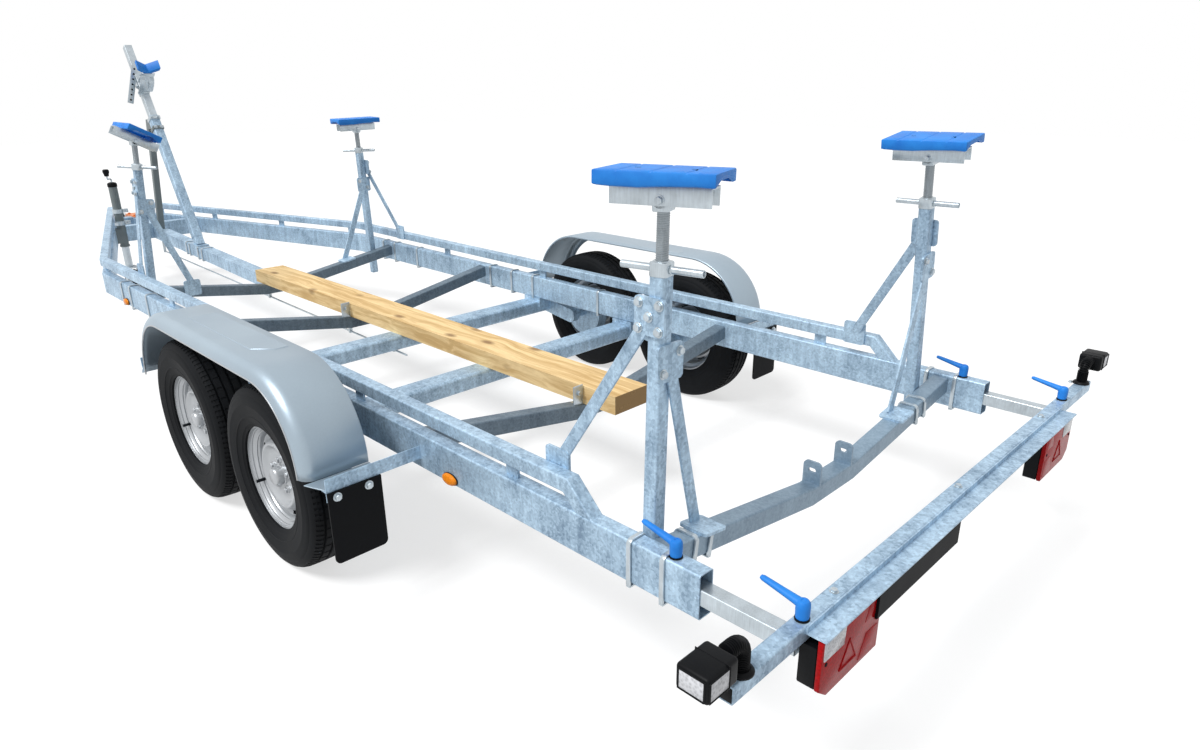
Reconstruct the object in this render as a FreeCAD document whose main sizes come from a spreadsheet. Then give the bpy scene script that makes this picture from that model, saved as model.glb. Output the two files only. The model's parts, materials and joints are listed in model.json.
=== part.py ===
import FreeCAD, Part
import math
import os
import Sketcher

# A tandem axle boat trailer, standing on its four road wheels and its jockey wheel.
# +X points forward to the coupling, +Y to the left side, +Z up, and the ground is z = 0.
# Places along X are measured from the middle between the two wheel axles. At the end the
# whole trailer is moved along X, so that the origin lies under the middle of its length.

Vector = FreeCAD.Vector
doc = FreeCAD.newDocument("boat_trailer")
sheet = doc.addObject("Spreadsheet::Sheet", "sizes")
sheet.Label = "sizes"

# Driving dimensions in millimetres and degrees: alias, value, meaning
DIMENSIONS = [
    ("rail_high", 120, "height of a main rail"),
    ("rail_wide", 50, "width of a main rail"),
    ("rail_wall", 3, "wall of a main rail"),
    ("rail_round", 7, "outer corner radius of a main rail"),
    ("rail_top", 529, "height of the rails' top face above the ground"),
    ("frame_wide", 1708, "width over the outer faces of both rails"),
    ("rail_rear", -1920, "rear end of the rails"),
    ("bend_place", 2484, "where the rails turn inwards"),
    ("rail_front", 4700, "front end of the rails"),
    ("front_half", 171, "half distance between the rails' middles at their front end"),
    ("nose_place", 4191, "place of the beam between the rails' front parts"),
    ("nose_wide", 60, "width of the beams between the rails' front parts"),
    ("drawbar_wide", 100, "width of the drawbar"),
    ("upper_side", 45, "side of the square upper rail"),
    ("upper_round", 6, "outer corner radius of the upper rail"),
    ("upper_lift", 40, "free height between a main rail and the upper rail"),
    ("upper_rear", -1475, "rear end of the straight upper rail"),
    ("upper_strut", 125, "length along X of the strut at the upper rail's rear end"),
    ("standoff_long", 50, "length of a stand-off plate under the upper rail"),
    ("standoff_thick", 8, "thickness of a stand-off plate"),
    ("cross_side", 60, "side of the square cross members"),
    ("cross_round", 6, "corner radius of the cross members"),
    ("cross_mid_top", 393, "height of the cross members' flat middle"),
    ("cross_flat_half", 95, "half length of the flat middle"),
    ("cross_front_place", 2070, "place of the front cross member"),
    ("cross_middle_place", 1030, "place of the middle cross member"),
    ("cross_rear_place", -740, "place of the rear cross member"),
    ("cross_front_end_top", 505, "height of the front cross member at the rail"),
    ("cross_middle_end_top", 519, "height of the middle cross member at the rail"),
    ("cross_rear_end_top", 508, "height of the rear cross member at the rail"),
    ("beam_place", -1759, "place of the bent beam at the rear"),
    ("beam_mid_top", 418, "height of the rear beam's flat middle"),
    ("beam_flat_half", 120, "half length of the rear beam's flat middle"),
    ("beam_end_top", 520, "height of the rear beam at the rail"),
    ("ear_long", 60, "length of an ear that holds the keel plank"),
    ("ear_high", 70, "height of an ear above its beam"),
    ("ear_thick", 8, "thickness of an ear"),
    ("ear_slot_wide", 14, "width of the slot in an ear of the rear beam"),
    ("ear_slot_long", 26, "length of the slot in an ear of the rear beam"),
    ("spine_side", 80, "side of the spine beam"),
    ("spine_rear_top", 414, "height of the spine beam's rear end"),
    ("spine_front_top", 488, "height of the spine beam's front end"),
    ("plank_wide", 180, "width of the keel plank"),
    ("plank_thick", 73, "thickness of the keel plank"),
    ("plank_rear", -930, "rear end of the keel plank"),
    ("plank_front", 2180, "front end of the keel plank"),
    ("axle_spacing", 700, "distance between the two wheel axles"),
    ("wheel_lift", 325, "height of the wheel centres"),
    ("wheel_plane", 1091.5, "half track of the tyres' middle planes"),
    ("axle_wide", 112, "width of the axle tubes"),
    ("axle_high", 72, "height of the axle tubes"),
    ("axle_round", 18, "corner radius of the axle tubes"),
    ("axle_seat", 130, "length of the seats between the axle tubes and the rails"),
    ("axle_ahead", 228, "distance of the axle tube ahead of its wheels"),
    ("axle_end", 880, "half length of an axle tube"),
    ("arm_thick", 45, "thickness of a swing arm"),
    ("arm_round", 38, "end radius of a swing arm"),
    ("drum_radius", 128, "radius of a brake drum's back plate"),
    ("drum_deep", 62, "depth of a brake drum"),
    ("stub_radius", 20, "radius of a stub axle"),
    ("stub_gap", 0.05, "running clearance of a hub on its stub axle"),
    ("tyre_radius", 325, "outer radius of a tyre"),
    ("tyre_wide", 185, "width of a tyre"),
    ("rim_radius", 192, "outer radius of the rim flange"),
    ("rim_wide", 150, "width of a rim over its flanges"),
    ("rim_sheet", 5, "sheet thickness of a rim"),
    ("bead_radius", 178, "radius of the bead seat"),
    ("well_radius", 158, "radius of the rim's drop centre"),
    ("disc_offset", 30, "distance of the disc's mounting face outside the middle plane"),
    ("hub_radius", 68, "radius of the hub"),
    ("hub_cap_radius", 31, "radius of the grease cap"),
    ("fender_outer", 1206, "half width over the fenders"),
    ("fender_wide", 220, "width of a fender"),
    ("fender_top", 750, "height of the fenders' flat top"),
    ("fender_arc", 300, "outer radius of a fender's two arcs"),
    ("fender_front", 715, "front end of a fender"),
    ("fender_rear", -715, "rear end of a fender"),
    ("fender_front_low", 449, "height of a fender's front lower edge"),
    ("fender_rear_low", 449, "height of a fender's rear lower edge"),
    ("fender_skirt", 44, "depth of a fender's skirts"),
    ("fender_sheet", 3, "sheet thickness of a fender"),
    ("fender_lip", 81, "length of the lips at a fender's lower ends"),
    ("bracket_side", 40, "side of the brackets that carry the fenders"),
    ("bracket_tab", 30, "depth of the tab that carries a mud flap"),
    ("bracket_wall", 4, "wall of the angle brackets"),
    ("flap_wide", 178, "width of a mud flap"),
    ("flap_high", 240, "height of a mud flap"),
    ("flap_thick", 6, "thickness of a mud flap"),
    ("flap_round", 18, "corner radius of a mud flap"),
    ("flap_inset", 27, "distance of a mud flap's edge inside the fender's"),
    ("post_side", 40, "side of the square posts"),
    ("post_wall", 4, "wall of the posts"),
    ("post_round", 5, "outer corner radius of the posts"),
    ("rear_post_left", 770, "distance of the left rear post's foot from the middle"),
    ("rear_post_right", 672, "distance of the right rear post's foot from the middle"),
    ("front_post_left", 702, "distance of the left front post's foot from the middle"),
    ("front_post_right", 694, "distance of the right front post's foot from the middle"),
    ("rear_lean_left", 1.2, "inward lean of the left rear post"),
    ("rear_lean_right", 6.4, "inward lean of the right rear post"),
    ("front_lean_left", 4, "inward lean of the left front post"),
    ("front_lean_right", 1.4, "inward lean of the right front post"),
    ("post_foot_lift", 540, "height at which the posts' feet are measured"),
    ("rear_post_low", 425, "lower end of the rear posts"),
    ("rear_post_top", 1165, "upper end of the rear posts"),
    ("front_post_low", 330, "lower end of the front posts"),
    ("front_post_top", 1125, "upper end of the front posts"),
    ("brace_wide", 35, "width of the flat braces"),
    ("brace_thick", 8, "thickness of the flat braces"),
    ("front_brace_reach", 210, "distance of a front post's long brace's foot from the post"),
    ("rear_brace_reach", 310, "distance of a rear post's long brace's foot from the post"),
    ("brace_inward_left", 135, "distance of a left cross brace's foot from its post"),
    ("brace_inward_right", 215, "distance of a right cross brace's foot from its post"),
    ("brace_inward_front", 183, "distance of the left front cross brace's foot from its post"),
    ("gusset_thick", 8, "thickness of the clamp plates on posts and rails"),
    ("gusset_side", 90, "side of the clamp plates on posts and rails"),
    ("spindle_radius", 15, "radius of the threaded spindles"),
    ("spindle_gap", 0.3, "clearance of a spindle in its nut"),
    ("spindle_long", 420, "length of a spindle"),
    ("rear_spindle_top", 1308, "upper end of the rear spindles"),
    ("front_spindle_top", 1254, "upper end of the front spindles"),
    ("nut_side", 46, "side of the spindle nuts"),
    ("nut_high", 34, "height of the spindle nuts"),
    ("handle_radius", 9, "radius of the nuts' two handles"),
    ("handle_long", 210, "length over the nuts' two handles"),
    ("block_wide", 56, "width of the knuckle on a spindle, along its pin"),
    ("block_high", 26, "height of a knuckle's pin above the spindle"),
    ("block_radius", 20, "radius of the knuckle on a spindle"),
    ("pin_radius", 6, "radius of a pad's pivot pin"),
    ("pad_long", 270, "length of a support pad"),
    ("pad_wide", 170, "width of a support pad"),
    ("pad_thick", 33, "thickness of a support pad"),
    ("pad_turn_front_left", 90, "turn of the left front spindle and pad from the length of the trailer"),
    ("pad_turn_front_right", 80, "turn of the right front spindle and pad"),
    ("pad_turn_rear_left", 22, "turn of the left rear spindle and pad"),
    ("pad_turn_rear_right", 4, "turn of the right rear spindle and pad"),
    ("pad_tilt_front_left", -25, "tilt of the left front pad on its pin"),
    ("cradle_long", 230, "length of the steel channel under a pad"),
    ("cradle_wall", 5, "wall of the channel under a pad"),
    ("cradle_below", 12, "depth of the channel's sides below its pivot pin"),
    ("cradle_room", 6, "free height between a knuckle and its channel"),
    ("mast_side", 52, "side of the bow mast"),
    ("mast_wall", 4, "wall of the bow mast"),
    ("sleeve_side", 62, "length of the steps at the sleeve's ends"),
    ("sleeve_wall", 5, "wall of the bow stand's sleeve"),
    ("mast_gap", 0.4, "clearance of the bow mast in its sleeve"),
    ("bow_foot_place", 3318, "place of the bow stand's rear foot"),
    ("bow_foot_top", 458, "height of the spine beam's top at the bow stand's foot"),
    ("bow_lean", 29, "lean of the bow mast from the vertical"),
    ("bow_sleeve_long", 1000, "length of the bow stand's slanted sleeve"),
    ("bow_mast_long", 1100, "length of the bow mast"),
    ("bow_mast_reach", 1550, "distance from the foot to the mast's upper end"),
    ("bow_leg_place", 4112, "place of the bow stand's front foot"),
    ("bow_leg_side", 42, "side of the bow stand's front leg"),
    ("bow_leg_ahead", 122, "distance of the front leg's top ahead of the sleeve"),
    ("bow_lug_high", 60, "height of the lug that carries the front leg's top"),
    ("bow_block_drop", 256, "distance of the bow block's top below the mast's end"),
    ("bow_block_behind", 211, "distance of the bow block's valley behind the mast"),
    ("bow_block_thick", 35, "thickness of the bow block's two wings"),
    ("bow_block_wide", 148, "width of the bow block"),
    ("bow_block_high", 66, "height of the bow block"),
    ("bow_block_deep", 60, "depth of the bow block's V"),
    ("housing_long", 230, "length of the overrun housing"),
    ("housing_radius", 52, "radius of the overrun housing"),
    ("shaft_radius", 28, "radius of the draw shaft"),
    ("bellows_radius", 42, "radius of the rubber bellows"),
    ("bellows_long", 80, "length of the rubber bellows"),
    ("coupling_lift", 457, "height of the coupling's axis"),
    ("coupling_long", 180, "length of the coupling head"),
    ("coupling_wide", 78, "width of the coupling head"),
    ("ball_radius", 25.2, "radius of the coupling's ball socket"),
    ("socket_deep", 38, "depth of the coupling's ball socket"),
    ("lever_long", 330, "length of the handbrake lever"),
    ("jockey_place", 4100, "place of the jockey wheel's tube"),
    ("jockey_out", 281, "distance of the jockey wheel's tube from the middle"),
    ("jockey_radius", 30, "outer radius of the jockey's outer tube"),
    ("jockey_wall", 3, "wall of the jockey's outer tube"),
    ("jockey_top", 857, "upper end of the jockey's outer tube"),
    ("jockey_low", 385, "lower end of the jockey's outer tube"),
    ("jockey_leg_radius", 26.5, "radius of the jockey's inner tube"),
    ("jockey_leg_low", 232, "lower end of the jockey's inner tube"),
    ("jockey_leg_top", 690, "upper end of the jockey's inner tube"),
    ("jockey_wheel_radius", 105, "radius of the jockey wheel"),
    ("jockey_wheel_wide", 70, "width of the jockey wheel"),
    ("jockey_trail", 35, "trail of the jockey wheel behind its swivel"),
    ("fork_wall", 5, "wall of the jockey's fork"),
    ("light_place", -2165, "place of the light bar"),
    ("light_half", 1093, "half length of the light bar"),
    ("light_side", 40, "side of the light bar"),
    ("slide_high", 44, "height of the light bar's two arms"),
    ("slide_reach", 900, "length of an arm inside its rail"),
    ("board_half", 805, "half length of the folded light board"),
    ("board_shift", 40, "offset of the light board to the left"),
    ("board_high", 14, "height of the folded light board's leg"),
    ("board_deep", 48, "depth of the folded light board's flange"),
    ("board_sheet", 4, "sheet thickness of the light board"),
    ("lamp_long", 258, "length of a tail lamp"),
    ("lamp_high", 155, "height of a tail lamp"),
    ("lamp_deep", 42, "depth of a tail lamp's housing"),
    ("lens_deep", 14, "depth of a tail lamp's lens behind the bar"),
    ("lamp_inset", 20, "distance of a tail lamp's lens inside the flange's edge"),
    ("plate_long", 435, "length of the number plate holder"),
    ("plate_over", 30, "overlap of the number plate holder and the left lamp"),
    ("plate_high", 62, "height of the number plate holder"),
    ("plate_thick", 12, "thickness of the number plate holder"),
    ("marker_radius", 18, "radius of a marker lamp's rubber stalk"),
    ("marker_inset", 48, "distance of a marker lamp's stalk inside the bar's end"),
    ("marker_rise", 62, "height of a marker lamp's arm above the bar"),
    ("marker_reach", 152, "reach of a marker lamp outside its stalk"),
    ("marker_long", 92, "length of a marker lamp's head"),
    ("marker_wide", 76, "width of a marker lamp's head"),
    ("marker_high", 58, "height of a marker lamp's head"),
    ("knob_radius", 16, "radius of a clamp lever's hub"),
    ("knob_high", 46, "height of a clamp lever's hub"),
    ("knob_reach", 105, "length of a clamp lever's arm"),
    ("knob_rise", 18, "rise of a clamp lever's arm"),
    ("side_lamp_long", 74, "length of a side marker"),
    ("side_lamp_high", 40, "height of a side marker"),
    ("side_lamp_thick", 16, "thickness of a side marker"),
    ("side_lamp_rear", -963, "place of the rear side markers"),
    ("side_lamp_front", 2089, "place of the front side markers"),
    ("rod_radius", 5, "radius of the brake rod"),
    ("rod_lift", 310, "height of the brake rod"),
    ("rod_rear_place", 460, "rear end of the brake rod"),
    ("rod_front_place", 4080, "front end of the brake rod"),
    ("rod_rear_out", 110, "distance of the brake rod's rear end from the middle"),
    ("rod_front_out", 12, "distance of the brake rod's front end from the middle"),
    ("hanger_wide", 16, "width of the brake rod's hangers"),
    ("seat_gap", 0.3, "gap of a moving piece beside what guides it"),
    ("overrun", 10, "how far a cutting tool passes a face"),
]

value = {}
for row, (alias, number, meaning) in enumerate(DIMENSIONS, start=1):
    sheet.set(f"A{row}", meaning)
    sheet.set(f"B{row}", str(number))
    sheet.setAlias(f"B{row}", alias)
    value[alias] = float(number)
doc.recompute()


class Sizes:
    """The sheet's numbers as plain attributes."""


size = Sizes()
size.__dict__.update(value)

X_AXIS, Y_AXIS, Z_AXIS = Vector(1, 0, 0), Vector(0, 1, 0), Vector(0, 0, 1)
LEFT, RIGHT = 1, -1


def bind(item, **expressions):
    """Bind properties of an object to the sheet."""
    for prop, expression in expressions.items():
        item.setExpression(prop, expression)


def frame_along(start, end, up=Z_AXIS):
    """A placement at start whose Z runs to end and whose Y is as near to up as it can be."""
    z_dir = (end - start).normalize()
    y_dir = up - z_dir * up.dot(z_dir)
    if y_dir.Length < 1e-6:
        y_dir = X_AXIS - z_dir * X_AXIS.dot(z_dir)
    y_dir.normalize()
    x_dir = y_dir.cross(z_dir)
    return FreeCAD.Placement(start, FreeCAD.Rotation(x_dir, y_dir, z_dir, "ZYX"))


def at(x, y, z, axis=Z_AXIS, angle=0):
    return FreeCAD.Placement(Vector(x, y, z), FreeCAD.Rotation(axis, angle))


# Profiles

def rounded_ring(sketch, wide, high, radius):
    """One rounded rectangle about the sketch's origin; its sizes are expressions."""
    first = sketch.GeometryCount
    w, t, r = (sheet_value(text) for text in (wide, high, radius))
    x, y = w / 2, t / 2
    corners = [(x - r, -y + r, -90), (x - r, y - r, 0), (-x + r, y - r, 90), (-x + r, -y + r, 180)]
    lines = [((-x + r, -y), (x - r, -y)), ((x, -y + r), (x, y - r)),
             ((x - r, y), (-x + r, y)), ((-x, y - r), (-x, -y + r))]
    for (ax, ay), (bx, by) in lines:
        sketch.addGeometry(Part.LineSegment(Vector(ax, ay, 0), Vector(bx, by, 0)))
    for cx, cy, turn in corners:
        circle = Part.Circle(Vector(cx, cy, 0), Z_AXIS, r)
        low = math.radians(turn)
        sketch.addGeometry(Part.ArcOfCircle(circle, low, low + math.pi / 2))
    for k in range(4):
        line, arc, following = first + k, first + 4 + k, first + (k + 1) % 4
        sketch.addConstraint(Sketcher.Constraint("Tangent", line, 2, arc, 1))
        sketch.addConstraint(Sketcher.Constraint("Tangent", arc, 2, following, 1))
        if k:
            sketch.addConstraint(Sketcher.Constraint("Equal", first + 4, arc))
    bottom, right, top, left = range(first, first + 4)
    for kind, geometry in (("Horizontal", bottom), ("Vertical", right)):
        sketch.addConstraint(Sketcher.Constraint(kind, geometry))
    sized = [
        (Sketcher.Constraint("Radius", first + 4, r), radius),
        (Sketcher.Constraint("DistanceX", -1, 1, right, 1, x), f"({wide}) / 2"),
        (Sketcher.Constraint("DistanceX", left, 1, -1, 1, x), f"({wide}) / 2"),
        (Sketcher.Constraint("DistanceY", -1, 1, top, 1, y), f"({high}) / 2"),
        (Sketcher.Constraint("DistanceY", bottom, 1, -1, 1, y), f"({high}) / 2"),
    ]
    for constraint, expression in sized:
        index = sketch.addConstraint(constraint)
        sketch.setExpression(f"Constraints[{index}]", expression)


def sheet_value(expression):
    """The number that an expression on the sheet stands for."""
    return float(sheet.evalExpression(expression.replace("sizes.", "")))


def section(name, wide, high, radius, wall=None):
    sketch = doc.addObject("Sketcher::SketchObject", name)
    rounded_ring(sketch, wide, high, radius)
    if wall:
        rounded_ring(sketch, f"{wide} - 2 * {wall}", f"{high} - 2 * {wall}", f"{radius} - {wall} * 0.7")
    return sketch


def outline(name, points):
    """A sketch of straight lines through points; a third number is that corner's radius."""
    sketch = doc.addObject("Sketcher::SketchObject", name)
    corners = [Vector(p[0], p[1], 0) for p in points]
    radii = [p[2] if len(p) > 2 else 0 for p in points]
    count = len(corners)
    stops = []
    for k, corner in enumerate(corners):
        if not radii[k]:
            stops.append((corner, corner, None))
            continue
        back = (corners[k - 1] - corner).normalize()
        ahead = (corners[(k + 1) % count] - corner).normalize()
        half = back.getAngle(ahead) / 2
        reach = radii[k] / math.tan(half)
        centre = corner + (back + ahead).normalize() * (radii[k] / math.sin(half))
        middle = centre + (corner - centre).normalize() * radii[k]
        stops.append((corner + back * reach, corner + ahead * reach, middle))
    for k in range(count):
        start, end, middle = stops[k]
        if middle:
            sketch.addGeometry(Part.Arc(start, middle, end))
        following = stops[(k + 1) % count][0]
        if (following - end).Length > 1e-6:
            sketch.addGeometry(Part.LineSegment(end, following))
    return sketch


def extrude(name, profile, length, placement=None, centred=False):
    item = doc.addObject("Part::Extrusion", name)
    item.Base = profile
    item.DirMode = "Custom"
    item.Dir = Z_AXIS
    item.Solid = True
    item.FaceMakerClass = "Part::FaceMakerBullseye"
    if isinstance(length, str):
        item.setExpression("LengthFwd", length)
    else:
        item.LengthFwd = length
    item.Symmetric = centred
    if placement:
        item.Placement = placement
    return item


def bar(name, profile, start, end, up=Z_AXIS):
    """A straight bar of one profile from start to end."""
    return extrude(name, profile, (end - start).Length, frame_along(start, end, up))


def bent_bar(name, profile, points, up=Z_AXIS):
    """A bar with mitred bends through points, which lie in one plane."""
    place = frame_along(points[0], points[1], up)
    back = place.inverse()
    path = doc.addObject("Part::Polygon", f"{name}_path")
    path.Nodes = [back.multVec(point) for point in points]
    path.Close = False
    item = doc.addObject("Part::Sweep", name)
    item.Sections = [profile]
    item.Spine = (path, [f"Edge{k + 1}" for k in range(len(points) - 1)])
    item.Solid = True
    item.Frenet = False
    item.Transition = "Right corner"
    item.Placement = place
    return item


def block(name, low, high):
    """A box between two corners."""
    item = doc.addObject("Part::Box", name)
    item.Length, item.Width, item.Height = high.x - low.x, high.y - low.y, high.z - low.z
    item.Placement = FreeCAD.Placement(low, FreeCAD.Rotation())
    return item


def rod(name, start, end, radius):
    item = doc.addObject("Part::Cylinder", name)
    if isinstance(radius, str):
        item.setExpression("Radius", radius)
    else:
        item.Radius = radius
    item.Height = (end - start).Length
    item.Placement = frame_along(start, end)
    return item


def fuse(name, items):
    item = doc.addObject("Part::MultiFuse", name)
    item.Shapes = items
    item.Refine = True
    return item


def cut(name, base, tool):
    item = doc.addObject("Part::Cut", name)
    item.Base, item.Tool = base, tool
    item.Refine = True
    return item


def group(name, items):
    item = doc.addObject("Part::Compound", name)
    item.Links = items
    return item


nodes = []


def keep(label, item):
    """Name a finished sub-part; its label is its file's name."""
    item.Label = label
    nodes.append(item)
    return item


rail_solid = section("rail_solid", "sizes.rail_wide", "sizes.rail_high", "sizes.rail_round")
rail_hollow = section("rail_hollow", "sizes.rail_wide - 2 * sizes.rail_wall",
                      "sizes.rail_high - 2 * sizes.rail_wall", "sizes.rail_round - sizes.rail_wall")
upper_profile = section("upper_profile", "sizes.upper_side", "sizes.upper_side", "sizes.upper_round")
cross_profile = section("cross_profile", "sizes.cross_side", "sizes.cross_side", "sizes.cross_round")
spine_profile = section("spine_profile", "sizes.spine_side", "sizes.spine_side", "sizes.cross_round")
nose_profile = section("nose_profile", "sizes.nose_wide", "sizes.rail_high", "sizes.rail_round")
drawbar_profile = section("drawbar_profile", "sizes.drawbar_wide", "sizes.rail_high", "sizes.rail_round")
axle_profile = section("axle_profile", "sizes.axle_wide", "sizes.axle_high", "sizes.axle_round")
post_profile = section("post_profile", "sizes.post_side", "sizes.post_side", "sizes.post_round", "sizes.post_wall")
mast_profile = section("mast_profile", "sizes.mast_side", "sizes.mast_side", "sizes.post_round", "sizes.mast_wall")
sleeve_wide = "sizes.mast_side + 2 * sizes.mast_gap + 2 * sizes.sleeve_wall"
sleeve_profile = section("sleeve_profile", sleeve_wide, sleeve_wide, "sizes.post_round + sizes.sleeve_wall * 0.7",
                         "sizes.sleeve_wall")
leg_profile = section("leg_profile", "sizes.bow_leg_side", "sizes.bow_leg_side", "sizes.post_round")
brace_profile = section("brace_profile", "sizes.brace_thick", "sizes.brace_wide", "sizes.brace_thick / 4")
flat_profile = section("flat_profile", "sizes.brace_wide", "sizes.brace_thick", "sizes.brace_thick / 4")
light_profile = section("light_profile", "sizes.light_side", "sizes.light_side", "sizes.post_round")
slide_profile = section("slide_profile", "sizes.rail_wide - 2 * sizes.rail_wall - 2 * sizes.seat_gap",
                        "sizes.slide_high", "sizes.post_round")
doc.recompute()

# Main rails, one each side, turned inwards to the drawbar

rail_middle = size.rail_top - size.rail_high / 2
rail_low = size.rail_top - size.rail_high
rail_line = size.frame_wide / 2 - size.rail_wide / 2
rail_inner = size.frame_wide / 2 - size.rail_wide
rail_outer = size.frame_wide / 2


taper = Vector(size.rail_front - size.bend_place, size.front_half - rail_line, 0)
taper_slope = -taper.y / taper.x
half_across = size.rail_wide / 2 * taper.Length / taper.x


def taper_line(x):
    """Distance of a rail's middle line from the trailer's middle, ahead of the bend."""
    return rail_line - taper_slope * (x - size.bend_place)


def rail_points(side):
    return [Vector(size.rail_rear, side * rail_line, rail_middle),
            Vector(size.bend_place, side * rail_line, rail_middle),
            Vector(size.rail_front, side * size.front_half, rail_middle)]


rail_cores = {}
for side, side_name in ((LEFT, "left"), (RIGHT, "right")):
    core = bent_bar(f"rail_core_{side_name}", rail_solid, rail_points(side))
    hollow = bent_bar(f"rail_hollow_{side_name}", rail_hollow, rail_points(side))
    rail_cores[side] = core
    keep(f"rail_{side_name}", cut(f"rail_{side_name}", core, hollow))
rails_room = fuse("rails_room", [rail_cores[LEFT], rail_cores[RIGHT]])

# Drawbar: two beams between the rails' front parts, joined by a box along the middle

half_nose = size.nose_wide / 2
nose_rear = size.nose_place - half_nose
head_place = size.rail_front - size.nose_wide
nose_beams = []
for name, x in (("nose", size.nose_place), ("head", head_place)):
    reach = Y_AXIS * taper_line(x - half_nose)
    centre = Vector(x, 0, rail_middle)
    nose_beams.append(bar(f"{name}_bar", nose_profile, centre - reach, centre + reach))
drawbar_body = bar("drawbar_body", drawbar_profile, Vector(nose_rear + size.nose_wide, 0, rail_middle),
                   Vector(head_place, 0, rail_middle))
keep("drawbar", cut("drawbar", fuse("drawbar_whole", nose_beams + [drawbar_body]), rails_room))

# Upper rails on stand-off plates

upper_middle = size.rail_top + size.upper_lift + size.upper_side / 2
upper_sides = []
for side, side_name in ((LEFT, "left"), (RIGHT, "right")):
    def on_taper(x, z):
        return Vector(x, side * taper_line(x), z)
    tube = bent_bar(f"upper_tube_{side_name}", upper_profile, [
        Vector(size.upper_rear - size.upper_strut, side * rail_line, rail_middle),
        Vector(size.upper_rear, side * rail_line, upper_middle),
        Vector(size.bend_place, side * rail_line, upper_middle),
        on_taper(size.rail_front, upper_middle)])
    run = size.bend_place - size.upper_rear
    places = [(Vector(size.upper_rear + run * share, side * rail_line, size.rail_top), 0)
              for share in (0.06, 0.27, 0.5, 0.73)]
    turn = -side * math.degrees(math.atan2(-taper.y, taper.x))
    places += [(on_taper(size.bend_place + taper.x * share, size.rail_top), turn) for share in (0.04, 0.35, 0.68, 0.97)]
    plates = []
    for k, (foot, angle) in enumerate(places):
        plate = doc.addObject("Part::Box", f"standoff_{side_name}_{k}")
        bind(plate, Length="sizes.standoff_long", Width="sizes.standoff_thick",
             Height="sizes.upper_lift + sizes.upper_round")
        spin = FreeCAD.Rotation(Z_AXIS, angle)
        plate.Placement = FreeCAD.Placement(
            foot + spin.multVec(Vector(-size.standoff_long / 2, -size.standoff_thick / 2, 0)), spin)
        plates.append(plate)
    whole = fuse(f"upper_whole_{side_name}", [tube] + plates)
    upper_sides.append(cut(f"upper_{side_name}", whole, rails_room))
keep("upper_rails", group("upper_rails", upper_sides))

# Cross members that dip in the middle, and the bent beam at the rear

def dipped_bar(name, place, end_top, mid_top, flat_half):
    half = size.cross_side / 2
    slope = (end_top - mid_top) / (rail_inner - flat_half)
    end_height = mid_top + slope * (rail_line - flat_half) - half
    points = [Vector(place, rail_line, end_height), Vector(place, flat_half, mid_top - half),
              Vector(place, -flat_half, mid_top - half), Vector(place, -rail_line, end_height)]
    whole = bent_bar(f"{name}_bar", cross_profile, points)
    return cut(f"{name}_trimmed", whole, rails_room)


front_member = dipped_bar("cross_front", size.cross_front_place, size.cross_front_end_top, size.cross_mid_top,
                          size.cross_flat_half)
keep("cross_front", front_member)
keep("cross_middle", dipped_bar("cross_middle", size.cross_middle_place, size.cross_middle_end_top,
                                size.cross_mid_top, size.cross_flat_half))


def ears(name, place, top, slotted):
    """Two upright ears, one each side of the keel plank."""
    made = []
    half = size.ear_long / 2
    profile = outline(f"{name}_outline", [(-half, -size.overrun), (half, -size.overrun),
                                          (half, size.ear_high, half / 2), (-half, size.ear_high, half / 2)])
    for side in (LEFT, RIGHT):
        y = side * (size.plank_wide / 2 + size.seat_gap + size.ear_thick / 2)
        plate = extrude(f"{name}_{'left' if side > 0 else 'right'}", profile, "sizes.ear_thick",
                        FreeCAD.Placement(Vector(place, y, top), FreeCAD.Rotation(X_AXIS, 90)), centred=True)
        if slotted:
            height = top + size.ear_high * 0.6
            half_run = (size.ear_slot_long - size.ear_slot_wide) / 2
            reach = size.ear_thick
            ends = [rod(f"{name}_slot_end_{side}_{k}", Vector(place + k * half_run, y - reach, height),
                        Vector(place + k * half_run, y + reach, height), "sizes.ear_slot_wide / 2") for k in (-1, 1)]
            middle = block(f"{name}_slot_middle_{side}",
                           Vector(place - half_run, y - reach, height - size.ear_slot_wide / 2),
                           Vector(place + half_run, y + reach, height + size.ear_slot_wide / 2))
            plate = cut(f"{name}_slotted_{side}", plate, fuse(f"{name}_slot_{side}", ends + [middle]))
        made.append(plate)
    return made


rear_member = dipped_bar("cross_rear", size.cross_rear_place, size.cross_rear_end_top, size.cross_mid_top,
                         size.cross_flat_half)
keep("cross_rear", rear_member)
rear_bar = dipped_bar("rear_beam", size.beam_place, size.beam_end_top, size.beam_mid_top, size.beam_flat_half)
keep("rear_beam", fuse("rear_beam", [rear_bar] + ears("rear_ears", size.beam_place, size.beam_mid_top, True)))

# Spine beam from the front cross member up to the first beam between the rails

spine_low = size.cross_front_place + size.cross_side / 2
spine_outline = outline("spine_outline", [
    (spine_low, size.spine_rear_top - size.spine_side), (nose_rear, size.spine_front_top - size.spine_side),
    (nose_rear, size.spine_front_top), (spine_low, size.spine_rear_top)])
spine_beam = keep("spine_beam", extrude("spine_beam", spine_outline, "sizes.spine_side",
                           FreeCAD.Placement(Vector(0, 0, 0), FreeCAD.Rotation(X_AXIS, 90)), centred=True))

# Keel plank

plank = doc.addObject("Part::Box", "plank_block")
bind(plank, Length="sizes.plank_front - sizes.plank_rear", Width="sizes.plank_wide", Height="sizes.plank_thick")
plank.Placement = at(size.plank_rear, -size.plank_wide / 2, size.cross_mid_top)
keep("keel_plank", cut("keel_plank", plank, spine_beam))

# Axles: a flat tube under the rails, swing arms, brake back plates and stub axles

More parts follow.
